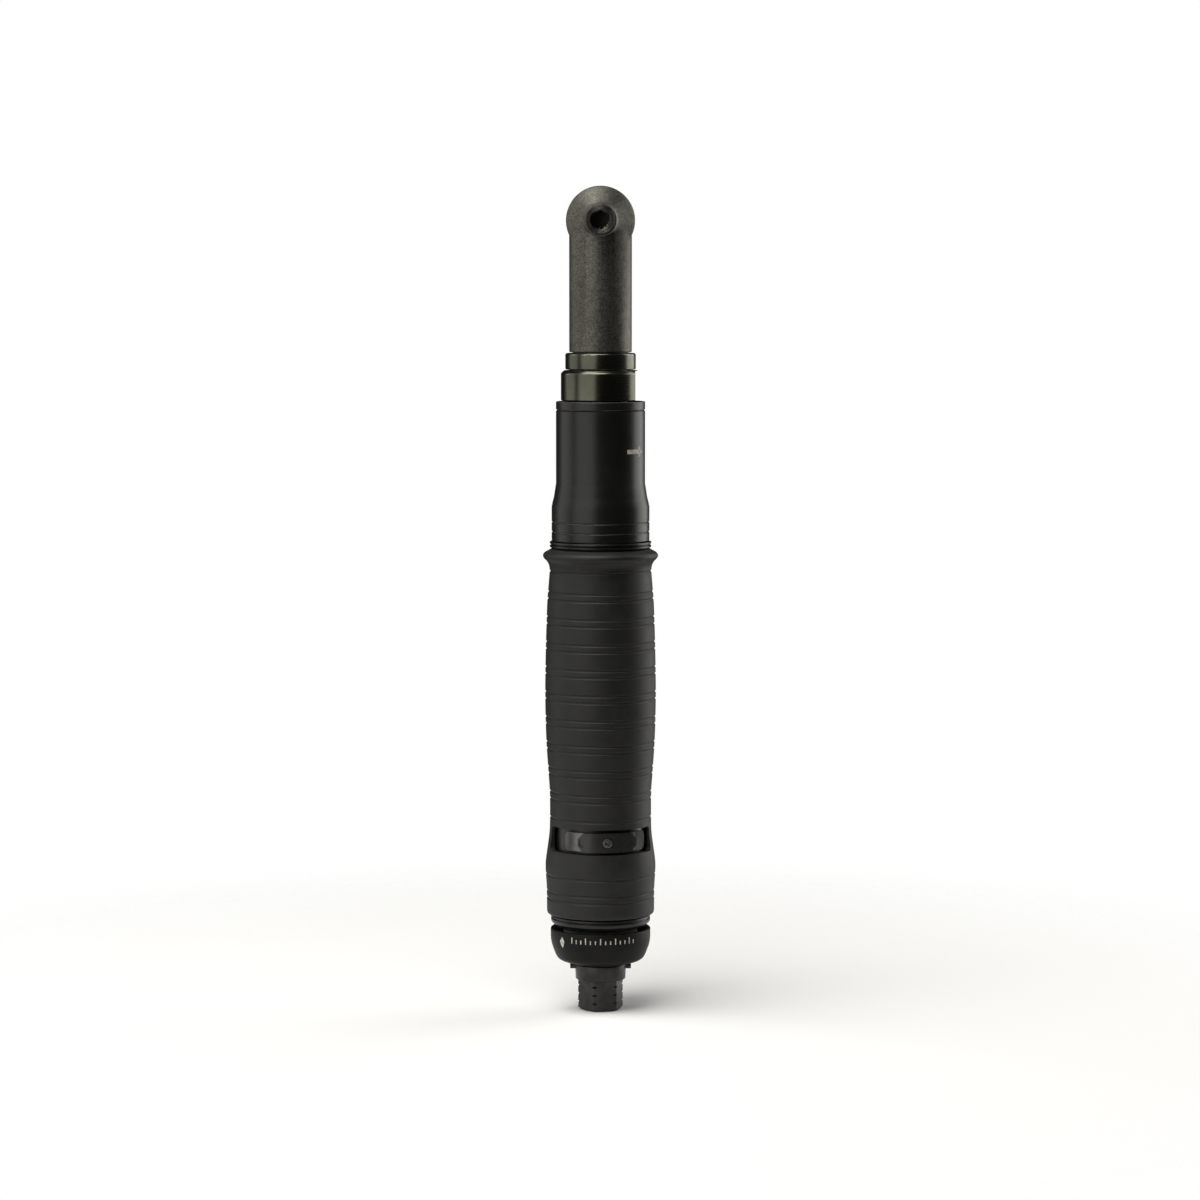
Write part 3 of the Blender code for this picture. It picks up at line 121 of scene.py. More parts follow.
class Socket:
    """One output of a node tree, with arithmetic that adds Math nodes."""

    def __init__(self, shader, link):
        self.shader = shader
        self.link = link

    def _math(self, operation, first, second=0.0):
        return self.shader.node("Math", {"operation": operation}, {0: first, 1: second})

    def __add__(self, other):
        return self._math("ADD", self, other)

    def __radd__(self, other):
        return self._math("ADD", other, self)

    def __sub__(self, other):
        return self._math("SUBTRACT", self, other)

    def __rsub__(self, other):
        return self._math("SUBTRACT", other, self)

    def __mul__(self, other):
        return self._math("MULTIPLY", self, other)

    def __rmul__(self, other):
        return self._math("MULTIPLY", other, self)

    def __abs__(self):
        return self._math("ABSOLUTE", self)

    def peak(self, other):
        return self._math("MAXIMUM", self, other)

    def span(self, low, high, new_low=0.0, new_high=1.0):
        """Smoothly map one stretch of values onto another."""
        inputs = {0: self, 1: low, 2: high, 3: new_low, 4: new_high}
        return self.shader.node("MapRange", {"interpolation_type": "SMOOTHSTEP"}, inputs)


class Nodes:
    """A node tree that grows by one node at a time."""

    def __init__(self, tree):
        self.tree = tree

    def node(self, kind, settings, inputs, output=0):
        made = self.tree.nodes.new("ShaderNode" + kind)
        for key, value in settings.items():
            setattr(made, key, value)
        for key, value in inputs.items():
            self.feed(made.inputs[key], value)
        return Socket(self, made.outputs[output])

    def feed(self, target, value):
        """Give an input a link or a constant."""
        if isinstance(value, Socket):
            self.tree.links.new(value.link, target)
        else:
            target.default_value = value


class Shader(Nodes):
    """A Principled material built from short expressions."""

    SOCKETS = {
        "metallic": "Metallic",
        "roughness": "Roughness",
        "specular": "Specular IOR Level",
        "coat": "Coat Weight",
        "coat_roughness": "Coat Roughness",
    }

    def __init__(self, name, **constants):
        self.material = bpy.data.materials.new(name)
        self.material.use_nodes = True
        super().__init__(self.material.node_tree)
        self.surface = self.tree.nodes["Principled BSDF"]
        for socket, value in constants.items():
            self.set(self.SOCKETS[socket], value)
        self.place = self.node("TexCoord", {}, {}, "Object")

    def set(self, name, value):
        self.feed(self.surface.inputs[name], rgba(value) if name == "Base Color" else value)

    def painted(self, colour, roughness, normal=None):
        """Connect the finished expressions and hand back the material."""
        self.set("Base Color", colour)
        self.set("Roughness", roughness)
        if normal is not None:
            self.set("Normal", normal)
        return self.material

    def stretched(self, scale):
        return self.node("Mapping", {}, {"Vector": self.place, "Scale": scale})

    def noise(self, scale, detail=3.0, rough=0.55, vector=None):
        inputs = {"Vector": vector or self.place, "Scale": scale, "Detail": detail,
                  "Roughness": rough}
        return self.node("TexNoise", {}, inputs, "Fac")

    def cells(self, scale):
        return self.node("TexVoronoi", {}, {"Vector": self.place, "Scale": scale}, "Distance")

    def blend(self, factor, first, second):
        inputs = {"Factor": factor, 6: rgba(first), 7: rgba(second)}
        return self.node("Mix", {"data_type": "RGBA"}, inputs, 2)

    def axis(self, letter):
        return self.node("SeparateXYZ", {}, {0: self.place}, letter)

    def bump(self, height, distance, strength, onto=None):
        inputs = {"Strength": strength, "Distance": distance, "Height": height}
        if onto is not None:
            inputs["Normal"] = onto
        return self.node("Bump", {}, inputs)


def rgba(colour):
    return colour if isinstance(colour, Socket) else (*colour[:3], 1.0)


def shade(colour, level):
    """The same colour, lighter or darker."""
    return tuple(level * part for part in colour)


# ---------------------------------------------------------------- finishes


def bands(shader, heights, width):
    """A mask that is one within a width of any of some heights along the tool."""
    up = shader.axis("Z")
    mask = None
    for height in heights:
        near = abs(up - height).span(0.0, width, 1.0, 0.0)
        mask = near if mask is None else mask.peak(near)
    return mask


def rubber_finish(colour, bloom):
    """Matte moulded rubber: pitted skin and a dusty grey bloom in random patches."""
    shader = Shader("grip_rubber", metallic=0.0, specular=0.36)
    grain = shader.noise(2600.0, 2.0)
    mottle = shader.noise(180.0, 4.0)
    haze = shader.noise(36.0, 3.0)
    pits = shader.cells(1900.0)
    tint = shader.blend(mottle.span(0.3, 0.75), colour, bloom)
    skin = shader.bump(grain * 0.6 + pits * 0.5, 0.00002, 0.6)
    return shader.painted(shader.blend(haze.span(0.45, 0.7) * 0.35, tint, bloom),
                          0.46 + mottle * 0.16 + grain * 0.06,
                          shader.bump(mottle, 0.00005, 0.3, skin))


def anodised_finish(colour, wear_colour, edges):
    """Black anodised aluminium: fine turning lines, faint clouding and bare metal on worn edges."""
    shader = Shader("black_anodising", metallic=0.0, specular=0.36)
    lines = shader.noise(1.0, 2.0, 0.6, shader.stretched((60.0, 60.0, 5200.0)))
    cloud = shader.noise(95.0, 4.0)
    specks = shader.noise(1500.0, 2.0)
    rubbed = shader.noise(260.0, 3.0).span(0.3, 0.75)
    wear_and_glint = bands(shader, edges, 0.22 * MM) * (0.12 + 0.3 * rubbed)
    base = shader.blend(cloud.span(0.35, 0.7), colour, shade(colour, 1.5))
    fine = shader.bump(specks, 0.000004, 0.6)
    return shader.painted(shader.blend(wear_and_glint, base, wear_colour), 0.24 + lines * 0.12 + cloud * 0.06,
                          shader.bump(lines, 0.0000022, 0.8, fine))


def oxide_finish(colour, glint):
    """Oiled black oxide on turned steel: glossy, olive in the light, fine turning marks, painted edge
    glint.
    """
    shader = Shader("black_oxide", metallic=1.0)
    lines = shader.noise(1.0, 2.0, 0.55, shader.stretched((40.0, 40.0, 7000.0)))
    cloud = shader.noise(70.0, 4.0)
    edges = (NUT_LOW.z, NUT_HIGH.z - 1.3 * MM, NUT_HIGH.z, LOCK_LOW.z, LOCK_HIGH.z - 0.6 * MM)
    # painted glint: pale metal mixed in along the edges of the nut and the lock ring, broken into
    # worn-looking patches
    wear_and_glint = bands(shader, edges, 0.22 * MM) * shader.noise(300.0, 3.0).span(0.42, 0.62)
    base = shader.blend(cloud.span(0.35, 0.7), colour, shade(colour, 1.35))
    return shader.painted(shader.blend(wear_and_glint * 0.8, base, glint), 0.16 + lines * 0.10 + cloud * 0.08,
                          shader.bump(lines, 0.0000012, 0.6))


def phosphate_finish(colour, pale):
    """Grainy grey phosphate on a forged head, oily in places."""
    shader = Shader("grey_phosphate", metallic=0.8, specular=0.5)
    grit = shader.noise(2100.0, 2.0, 0.7)
    blotch = shader.noise(420.0, 4.0, 0.6)
    cloud = shader.noise(60.0, 3.0)
    crystals = shader.cells(3200.0)
    tone = blotch * 0.25 + grit * 0.75
    base = shader.blend(tone.span(0.36, 0.66), colour, pale)
    oily = shader.blend(cloud.span(0.45, 0.65) * 0.2, base, shade(colour, 0.6))
    rough = shader.bump(grit + crystals * 0.6, 0.00005, 0.6)
    return shader.painted(oily, 0.44 + grit * 0.14 - cloud * 0.08,
                          shader.bump(blotch, 0.00004, 0.4, rough))


def steel_finish(name, colour, roughness, scale=(50.0, 50.0, 5200.0)):
    """Turned or ground steel with hairlines along the cut and faint stains."""
    shader = Shader(name, metallic=1.0)
    lines = shader.noise(1.0, 2.0, 0.6, shader.stretched(scale))
    stain = shader.noise(150.0, 4.0)
    return shader.painted(shader.blend(stain.span(0.35, 0.7), colour, shade(colour, 0.62)),
                          roughness + lines * 0.12 + stain * 0.06,
                          shader.bump(lines, 0.000002, 0.8))


def plastic_finish(name, colour, roughness, gloss):
    """Glass-filled nylon: a fine leathery skin with slightly lighter flow clouds."""
    shader = Shader(name, metallic=0.0, specular=gloss)
    skin = shader.noise(2100.0, 3.0, 0.6)
    cloud = shader.noise(120.0, 4.0)
    return shader.painted(shader.blend(cloud.span(0.35, 0.72), colour, shade(colour, 1.8)),
                          roughness + cloud * 0.12, shader.bump(skin, 0.00001, 0.7))


def ink_finish(colour):
    """Pad-printed ink, thin and a little broken where it is rubbed."""
    shader = Shader("printed_ink", metallic=0.0)
    rub = shader.noise(900.0, 3.0)
    return shader.painted(shader.blend(rub.span(0.42, 0.72), colour, shade(colour, 0.45)),
                          0.55 + rub * 0.2)


def grease_finish(colour):
    """Old assembly grease, yellow-green and wet."""
    shader = Shader("grease", metallic=0.0, coat=0.6, coat_roughness=0.08)
    lumps = shader.noise(1300.0, 3.0)
    return shader.painted(shader.blend(lumps.span(0.4, 0.65), colour, (0.02, 0.02, 0.006)),
                          0.12 + lumps * 0.2, shader.bump(lumps, 0.0004, 0.9))


def fibre_finish(name, colour, roughness):
    """Laminate, felt or sintered pieces: short fibres over a mottled body."""
    shader = Shader(name, metallic=0.0)
    fibres = shader.noise(1.0, 4.0, 0.7, shader.stretched((900.0, 2600.0, 900.0)))
    return shader.painted(shader.blend(fibres.span(0.3, 0.7), colour, shade(colour, 0.55)),
                          roughness + fibres * 0.1, shader.bump(fibres, 0.0001, 0.5))


def floor_finish(colour):
    """Plain paper that fades out into the bright room towards its rim."""
    shader = Shader("studio_floor", roughness=0.9, specular=0.1)
    across, away = shader.axis("X"), shader.axis("Y")
    far = across * across + away * away
    shader.set("Base Color", colour)
    shader.set("Alpha", 1.0 - far.span(0.002, 0.14))
    return shader.material


# ---------------------------------------------------------------- shape helpers


def smooth(mesh):
    """Shade a mesh smooth, except across its sharper edges."""
    mesh.shade_smooth()
    mesh.set_sharp_from_angle(angle=math.radians(SMOOTH_ANGLE))


def finish_mesh(bm, name, material):
    bmesh.ops.remove_doubles(bm, verts=bm.verts, dist=SAME_PLACE)
    bmesh.ops.recalc_face_normals(bm, faces=bm.faces)
    mesh = bpy.data.meshes.new(name)
    bm.to_mesh(mesh)
    bm.free()
    smooth(mesh)
    piece = bpy.data.objects.new(name, mesh)
    bpy.context.scene.collection.objects.link(piece)
    if material is not None:
        mesh.materials.append(material)
    return piece


def outline_ring(bm, outline):
    """Join (radius, height) points into one closed outline standing on the X axis."""
    verts = [bm.verts.new((radius, 0, height)) for radius, height in outline]
    edges = [bm.edges.new(pair) for pair in zip(verts, verts[1:] + verts[:1])]
    return verts + edges


def turned(name, outline, material=None, steps=160, nose=False):
    """Spin a closed outline round the tool's axis, or round the output's axis."""
    bm = bmesh.new()
    geometry = outline_ring(bm, outline)
    bmesh.ops.spin(bm, geom=geometry, cent=(0, 0, 0), axis=(0, 0, 1), angle=FULL_TURN, steps=steps,
                   use_merge=True)
    bmesh.ops.remove_doubles(bm, verts=bm.verts, dist=SAME_PLACE)
    loose = [edge for edge in bm.edges if not edge.link_faces]
    bmesh.ops.delete(bm, geom=loose, context="EDGES")
    if nose:
        bmesh.ops.transform(bm, matrix=nose_axis(), verts=bm.verts)
    return finish_mesh(bm, name, material)


def nose_axis():
    """Lays a piece turned round Z along the output's axis: its +Z end becomes the +Y end."""
    return Matrix.Translation((0, 0, Z_HEAD)) @ Matrix.Rotation(-math.pi / 2, 4, "X")


def bent_band(name, inner, outer, start, end, low, high, material=None, steps=48, corner=0.0,
              corner_segments=6):
    """Part of a ring: a plate with eased corners, bent round the axis."""
    half = (end - start) / 2 * outer
    outline = []
    for side, level, turn in ((1, low, -90), (1, high, 0), (-1, high, 90), (-1, low, 180)):
        centre = (side * (half - corner), level + (corner if level == low else -corner))
        if corner:
            outline += arc(centre, corner, turn, turn + 90, corner_segments)
        else:
            outline.append(centre)
    bm = bmesh.new()
    bm.faces.new([bm.verts.new((x, 0, z)) for x, z in outline])
    for step in range(1, steps):
        geometry = bm.verts[:] + bm.edges[:] + bm.faces[:]
        bmesh.ops.bisect_plane(bm, geom=geometry, plane_co=(half * (2 * step / steps - 1), 0, 0),
                               plane_no=(1, 0, 0), dist=1e-8)
    grown = bmesh.ops.extrude_face_region(bm, geom=bm.faces[:])["geom"]
    outside = {item for item in grown if isinstance(item, bmesh.types.BMVert)}
    for vert in bm.verts:
        radius = outer if vert in outside else inner
        turn = (start + end) / 2 + vert.co.x / outer
        vert.co = (radius * math.cos(turn), radius * math.sin(turn), vert.co.z)
    return finish_mesh(bm, name, material)


def ease(bm, edges, width, segments):
    """Round some edges of a mesh that is being made."""
    bmesh.ops.bevel(bm, geom=edges, offset=width, segments=segments, affect="EDGES", profile=0.5,
                    material=-1)


def bar(name, radius, start, end, material=None, steps=32, dome=0.0):
    """A round bar between two points, with an optional rounded far end."""
    start, end = Vector(start), Vector(end)
    bm = bmesh.new()
    turn = (end - start).to_track_quat("Z", "Y").to_matrix().to_4x4()
    place = Matrix.Translation((start + end) / 2) @ turn
    bmesh.ops.create_cone(bm, cap_ends=True, segments=steps, radius1=radius, radius2=radius,
                          depth=(end - start).length, matrix=place)
    if dome:
        tip = [edge for edge in bm.edges
               if all((vert.co - end).length < radius * 1.01 for vert in edge.verts)]
        ease(bm, tip, dome, 5)
    return finish_mesh(bm, name, material)


def block(name, low, high, material=None, corner=0.0, lug=0.0):
    """A box; corner eases all its edges, lug rounds the two far edges along X."""
    bm = bmesh.new()
    low, high = Vector(low), Vector(high)
    place = Matrix.Translation((low + high) / 2) @ Matrix.Diagonal((*(high - low), 1))
    bmesh.ops.create_cube(bm, size=1, matrix=place)
    if corner:
        ease(bm, bm.edges[:], corner, 3)
    if lug:
        far = [edge for edge in bm.edges
               if all(abs(vert.co.y - high.y) < SAME_PLACE for vert in edge.verts)
               and abs(edge.verts[0].co.z - edge.verts[1].co.z) < SAME_PLACE]
        ease(bm, far, lug, 6)
    return finish_mesh(bm, name, material)


def hexagon_bar(name, flats, depth, place, material=None):
    """A hexagonal bar of some size across its flats, centred where the matrix puts it."""
    corner = flats / math.sqrt(3)
    bm = bmesh.new()
    bmesh.ops.create_cone(bm, cap_ends=True, segments=6, radius1=corner, radius2=corner,
                          depth=depth, matrix=place)
    return finish_mesh(bm, name, material)


def carve(piece, cutters, operation="DIFFERENCE"):
    """Cut shapes out of a piece, or weld them on, and keep only the result."""
    for cutter in cutters:
        modifier = piece.modifiers.new(cutter.name, "BOOLEAN")
        modifier.operation = operation
        modifier.object = cutter
        modifier.solver = "EXACT"
    graph = bpy.context.evaluated_depsgraph_get()
    result = bpy.data.meshes.new_from_object(piece.evaluated_get(graph))
    if not result.polygons:
        raise RuntimeError(f"Nothing is left of {piece.name} after its cuts")
    piece.modifiers.clear()
    piece.data = result
    for cutter in cutters:
        bpy.data.objects.remove(cutter, do_unlink=True)
    bm = bmesh.new()
    bm.from_mesh(result)
    bmesh.ops.remove_doubles(bm, verts=bm.verts, dist=WELD)
    bmesh.ops.dissolve_degenerate(bm, edges=bm.edges, dist=WELD)
    bm.to_mesh(result)
    bm.free()
    smooth(result)
    return piece


def soften(piece, width, angle=38.0, segments=3):
    """Break a piece's sharp edges with a narrow round."""
    modifier = piece.modifiers.new("edge round", "BEVEL")
    modifier.width = width
    modifier.segments = segments
    modifier.limit_method = "ANGLE"
    modifier.angle_limit = math.radians(angle)
    modifier.harden_normals = True
    modifier.use_clamp_overlap = True
    return piece


def settle(piece, body, slot, *nodes):
    """Attach a finished piece to its moving body and put it in place of the plain solids."""
    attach(piece, body)
    if nodes:
        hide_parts(*nodes)
    return piece


def smooth_curve(points, steps):
    """Points on a smooth (radius, height) curve through some chosen points."""
    curve = []
    padded = [points[0]] + points + [points[-1]]
    for index in range(len(points) - 1):
        before, start, end, after = [Vector(p) for p in padded[index:index + 4]]
        for step in range(steps):
            t = step / steps
            curve.append(tuple(0.5 * ((2 * start) + (end - before) * t
                                      + (2 * before - 5 * start + 4 * end - after) * t * t
                                      + (3 * start - before - 3 * end + after) * t ** 3)))
    curve.append(tuple(points[-1]))
    return curve


def arc(centre, radius, start, end, steps):
    """Points of (radius, height) on a quarter round or any other arc, in degrees."""
    angles = [math.radians(start + (end - start) * step / steps) for step in range(steps + 1)]
    return [(centre[0] + radius * math.cos(a), centre[1] + radius * math.sin(a)) for a in angles]


def low_corner(radius, height, size, steps=4):
    """The rounded lower corner of an outer wall."""
    return arc((radius - size, height + size), size, -90, 0, steps)


def high_corner(radius, height, size, steps=4):
    """The rounded upper corner of an outer wall."""
    return arc((radius - size, height - size), size, 0, 90, steps)


def radius_on(curve, height):
    """Radius of a rising (radius, height) curve at a height."""
    for (low_radius, low), (high_radius, high) in zip(curve, curve[1:]):
        if low <= height <= high and high > low:
            return low_radius + (high_radius - low_radius) * (height - low) / (high - low)
    return curve[0][0] if height < curve[0][1] else curve[-1][0]


def v_groove(radius, height, depth, half):
    """Five points of a small rounded groove, from the lower edge to the upper one."""
    return [(radius, height - half), (radius - 0.75 * depth, height - 0.5 * half),
            (radius - depth, height), (radius - 0.75 * depth, height + 0.5 * half),
            (radius, height + half)]


def wrapped(name, outlines, radius_at, angle, height, material, lift=0.02 * MM):
    """Thin printed shapes laid on a turned wall: flat polygons bent round the axis.

    Each outline is closed and in (along the wall, up); radius_at gives the wall at a height."""
    bm = bmesh.new()
    for outline in outlines:
        face = bm.faces.new([bm.verts.new((x, 0, z)) for x, z in outline])
        bmesh.ops.triangulate(bm, faces=[face])
    for _ in range(PRINT_ROUNDS):
        long_edges = [edge for edge in bm.edges if edge.calc_length() > PRINT_STEP]
        bmesh.ops.subdivide_edges(bm, edges=long_edges, cuts=1)
        bmesh.ops.triangulate(bm, faces=bm.faces)
    grown = bmesh.ops.extrude_face_region(bm, geom=bm.faces[:])["geom"]
    outer = {item for item in grown if isinstance(item, bmesh.types.BMVert)}
    for vert in bm.verts:
        x, z = vert.co.x, vert.co.z + height
        radius = radius_at(z) + (lift if vert in outer else -lift)
        turn = angle + x / radius_at(height)
        vert.co = (radius * math.cos(turn), radius * math.sin(turn), z)
    return finish_mesh(bm, name, material)


def arrow(length, width, shaft):
    """Outline of a plain arrow pointing along +x, centred on the origin."""
    tip = length / 2
    neck = tip - width * 0.62
    return [(-tip, -shaft / 2), (neck, -shaft / 2), (neck, -width / 2), (tip, 0),
            (neck, width / 2), (neck, shaft / 2), (-tip, shaft / 2)]


def tick(x, low, high, width):
    """Outline of an upright printed line."""
    left, right = x - width / 2, x + width / 2
    return [(left, low), (right, low), (right, high), (left, high)]


# ---------------------------------------------------------------- settings


def length(name, description, default):
    return FloatProperty(name=name, description=description, default=default, subtype="DISTANCE",
                         unit="LENGTH", precision=5)


def paint(name, description, default):
    return FloatVectorProperty(name=name, description=description, default=default, size=3, min=0,
                               max=1, subtype="COLOR")


def angle(name, description, default):
    return FloatProperty(name=name, description=description, default=math.radians(default),
                         subtype="ANGLE")


def power(name, description, default):
    return FloatProperty(name=name, description=description, default=default, unit="POWER")


class GripSettings(bpy.types.PropertyGroup):
    pair_pitch: length("Pair pitch", "Distance between the pairs of grip grooves", 9.41 * MM)
    pair_gap: length("Pair gap", "Distance between the two grooves of a pair", 2.62 * MM)
    pair_count: IntProperty(name="Pairs", description="Pairs of grooves on the belly", default=9)
    groove_depth: length("Groove depth", "Depth of each moulded groove", 0.32 * MM)
    groove_width: length("Groove width", "Width of each moulded groove", 1.15 * MM)
    window_corner: length("Window corner", "Corner radius of the window", 1.9 * MM)
    edge_round: length("Edge round", "Rounding of the cut edges of the rubber", 0.35 * MM)


class ShellSettings(bpy.types.PropertyGroup):
    groove_depth: length("Groove depth", "Depth of the clutch cover's turned grooves", 0.3 * MM)
    groove_width: length("Groove width", "Width of the clutch cover's turned grooves", 0.7 * MM)
    edge_round: length("Edge round", "Broken edge of the turned shells", 0.3 * MM)
    collar_round: length("Collar round", "Rounding of the nut and the lock ring", 0.5 * MM)
    thread_pitch: length("Thread pitch", "Pitch of the ridges in the air port", 1.34 * MM)


class ReverserSettings(bpy.types.PropertyGroup):
    plate_corner: length("Plate corner", "Size of the slider plate's cut corners", 2.2 * MM)
    dimple_radius: length("Dimple radius", "Radius of the position dimples", 1.65 * MM)
    dimple_depth: length("Dimple depth", "Depth of the position dimples", 0.5 * MM)
    knurl_pitch: angle("Knurl pitch", "Angle between the ring's ridges", 2.6)
    knurl_depth: length("Knurl depth", "Depth of the ring's end knurling", 0.3 * MM)


class FinishSettings(bpy.types.PropertyGroup):
    rubber: paint("Rubber", "Grip rubber", (0.0048, 0.0047, 0.0039))
    rubber_bloom: paint("Rubber bloom", "Dusty crests of the rubber", (0.0095, 0.0095, 0.0085))
    anodised: paint("Anodising", "Black anodised aluminium", (0.0045, 0.0045, 0.0044))
    # bare metal on the worn edges of the anodising, and also the painted glint on the edges of the
    # black oxide collars
    bare_metal_and_glint: paint("Bare metal", "Metal that shows on worn edges", (0.30, 0.29, 0.26))
    oxide: paint("Black oxide", "Oiled black oxide on steel", (0.072, 0.072, 0.057))
    phosphate: paint("Phosphate", "Grey phosphate of the head", (0.050, 0.049, 0.040))
    phosphate_pale: paint("Phosphate crystals", "Pale grains", (0.155, 0.151, 0.130))
    plastic: paint("Plastic", "Black exhaust cap", (0.0030, 0.0030, 0.0029))
    ink: paint("Ink", "Printed marks", (0.50, 0.47, 0.39))
    bright: paint("Bright steel", "Ground steel", (0.62, 0.60, 0.57))
    dark: paint("Dark steel", "Oiled dark steel", (0.16, 0.158, 0.15))
    grease: paint("Grease", "Assembly grease in the socket", (0.24, 0.25, 0.03))


class StudioSettings(bpy.types.PropertyGroup):
    front_light: power("Front light", "Watts of the softbox at front left", 5.0)
    left_light: power("Left light", "Watts of the softbox at the left", 3.0)
    right_light: power("Right light", "Watts of the narrow right softbox", 7.0)
    top_light: power("Top light", "Watts of the top softbox", 13.0)
    surround: FloatProperty(name="Surround", description="Strength of the dim room", default=0.025)
    camera_distance: length("Camera distance", "From the tool's axis", 1.3875)
    camera_height: length("Camera height", "Above the floor", 0.2741)
    camera_tilt: angle("Camera tilt", "Downward pitch", 4.9)
    focal_length: FloatProperty(name="Focal length", description="Lens, in millimetres",
                                default=111.4)
    floor: paint("Floor", "Pale floor", (0.94, 0.94, 0.94))


SETTINGS = {
    "angle_tool_grip": GripSettings,
    "angle_tool_shells": ShellSettings,
    "angle_tool_reverser": ReverserSettings,
    "angle_tool_finishes": FinishSettings,
    "angle_tool_studio": StudioSettings,
}


def finish(context, name):
    """The named finish, made the first time that a piece asks for it."""
    made = bpy.data.materials.get(name + "_finish")
    if made:
        return made
    paints = context.scene.angle_tool_finishes
    cover_edges = (COVER_LOW.z, COVER_HIGH.z, COVER_HIGH.z - 3.0 * MM, COVER_LOW.z + 3.3 * MM,
                   COVER_LOW.z + 7.0 * MM)
    makers = {
        "grip_rubber": lambda: rubber_finish(paints.rubber, paints.rubber_bloom),
        "black_anodising": lambda: anodised_finish(paints.anodised, paints.bare_metal_and_glint, cover_edges),
        # the pale metal colour here is a painted glint along the collars' edges
        "black_oxide": lambda: oxide_finish(paints.oxide, paints.bare_metal_and_glint),
        "grey_phosphate": lambda: phosphate_finish(paints.phosphate, paints.phosphate_pale),
        "cap_plastic": lambda: plastic_finish(name, paints.plastic, 0.42, 0.14),
        "slider_plastic": lambda: plastic_finish(name, shade(paints.plastic, 0.9), 0.26, 0.5),
        "printed_ink": lambda: ink_finish(paints.ink),
        "grease": lambda: grease_finish(paints.grease),
        "bright_steel": lambda: steel_finish(name, paints.bright, 0.16),
        "spindle_steel": lambda: steel_finish(name, shade(paints.bright, 0.13), 0.22,
                                              (4200.0, 60.0, 4200.0)),
        "dark_steel": lambda: steel_finish(name, shade(paints.dark, 0.32), 0.3),
        "ring_steel": lambda: steel_finish(name, shade(paints.dark, 0.8), 0.22),
        "screw_steel": lambda: steel_finish(name, shade(paints.bright, 0.28), 0.3),
        "sintered_bronze": lambda: fibre_finish(name, (0.42, 0.24, 0.09), 0.45),
        "grey_felt": lambda: fibre_finish(name, (0.30, 0.29, 0.26), 0.9),
        "red_fibre": lambda: fibre_finish(name, (0.22, 0.045, 0.02), 0.6),
    }
    made = makers[name]()
    made.name = name + "_finish"
    return made


# ---------------------------------------------------------------- grip


GRIP_SHAPE = (
    (0.15, 19.1), (0.75, 20.1), (4.5, 20.25), (10.0, 20.3), (16.9, 20.7), (20.5, 20.6),
    (26.0, 19.85), (31.0, 19.22), (36.0, 19.05), (46.0, 19.1), (54.0, 19.62), (66.0, 20.4),
    (80.0, 20.77), (92.0, 20.72), (106.0, 20.4), (118.0, 19.97), (125.0, 19.42), (129.6, 19.1),
    (131.6, 19.3), (133.2, 20.05), (134.3, 21.1), (135.2, 21.56), (136.0, 21.4), (136.7, 20.75),
    (137.2, 19.75),
)
GRIP_CURVE = smooth_curve([(radius * MM, GRIP_LOW.z + rise * MM) for rise, radius in GRIP_SHAPE], 8)


def groove_heights(settings):
    """Every moulded groove: single rings near the ends and the pairs along the belly."""
    top = GRIP_LOW.z + 129.6 * MM
    last_pair = GRIP_LOW.z + 120.6 * MM
    single = [top, GRIP_LOW.z + 36.9 * MM, GRIP_LOW.z + 15.3 * MM]
    pairs = [last_pair - index * settings.pair_pitch for index in range(settings.pair_count)]
    pairs.append(GRIP_LOW.z + 7.7 * MM)
    half = settings.pair_gap / 2
    return sorted(single + [middle + side * half for middle in pairs for side in (-1, 1)])


class MakeGrip(bpy.types.Operator):
    """Turn the rubber grip with its waves and grooves, and open its window and lever notch"""

    bl_idname = "angle_tool.make_grip"
    bl_label = "Rubber grip"

    def execute(self, context):
        settings = context.scene.angle_tool_grip
        half = settings.groove_width / 2
        offsets = (-1.0, -0.6, -0.3, 0.0, 0.3, 0.6, 1.0)
        depths = (0.0, 0.62, 0.95, 1.0, 0.95, 0.62, 0.0)
        grooves = groove_heights(settings)
        points = {}
        for _, height in GRIP_CURVE:
            if all(abs(height - middle) > 1.2 * half for middle in grooves):
                points[height] = 0.0
        for middle in grooves:
            for offset, depth in zip(offsets, depths):
                points[middle + offset * half] = depth * settings.groove_depth
        outer = [(radius_on(GRIP_CURVE, height) - depth, height)
                 for height, depth in sorted(points.items())]
        inner = HOUSING_HIGH.x + 0.12 * MM
        outline = outer + [(inner, GRIP_HIGH.z), (inner, GRIP_LOW.z)]
        grip = turned("grip_rubber", outline, finish(context, "grip_rubber"), steps=144)
        low, high = Z_WINDOW - 4.6 * MM, Z_WINDOW + 4.6 * MM
        window = bent_band("window_cutter", 0.8 * inner, 1.4 * inner, FRONT - math.radians(72),
                           FRONT + math.radians(72), low, high, corner=settings.window_corner)
        pivot = joint_place("lever_press")
        reach = LEVER_HIGH.x + 4.0 * MM
        notch = block("notch_cutter", (-reach, 0.3 * inner, GRIP_LOW.z - 2 * MM),
                      (reach, 2 * inner, pivot.z + 4.0 * MM), corner=1.2 * MM)
        middle = middle_of("throttle_pin").z
        pin_hole = bar("pin_hole_cutter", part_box("throttle_pin")[1].x + 0.8 * MM,
                       (0, 0.8 * inner, middle),
                       (0, 2 * inner, middle))
        carve(grip, [window, notch, pin_hole])
        soften(grip, settings.edge_round, angle=62)
        settle(grip, "tool_body", "black_rubber", "grip_sleeve")
        return {"FINISHED"}


# ---------------------------------------------------------------- lower end


def rounded_ring(inner, outer, low, high, low_round, high_round, steps):
    """Outline of a ring whose two outer corners are rounded."""
    outline = [(inner, low)]
    outline += low_corner(outer, low, low_round, steps)
    outline += high_corner(outer, high, high_round, steps)
    return outline + [(inner, high)]


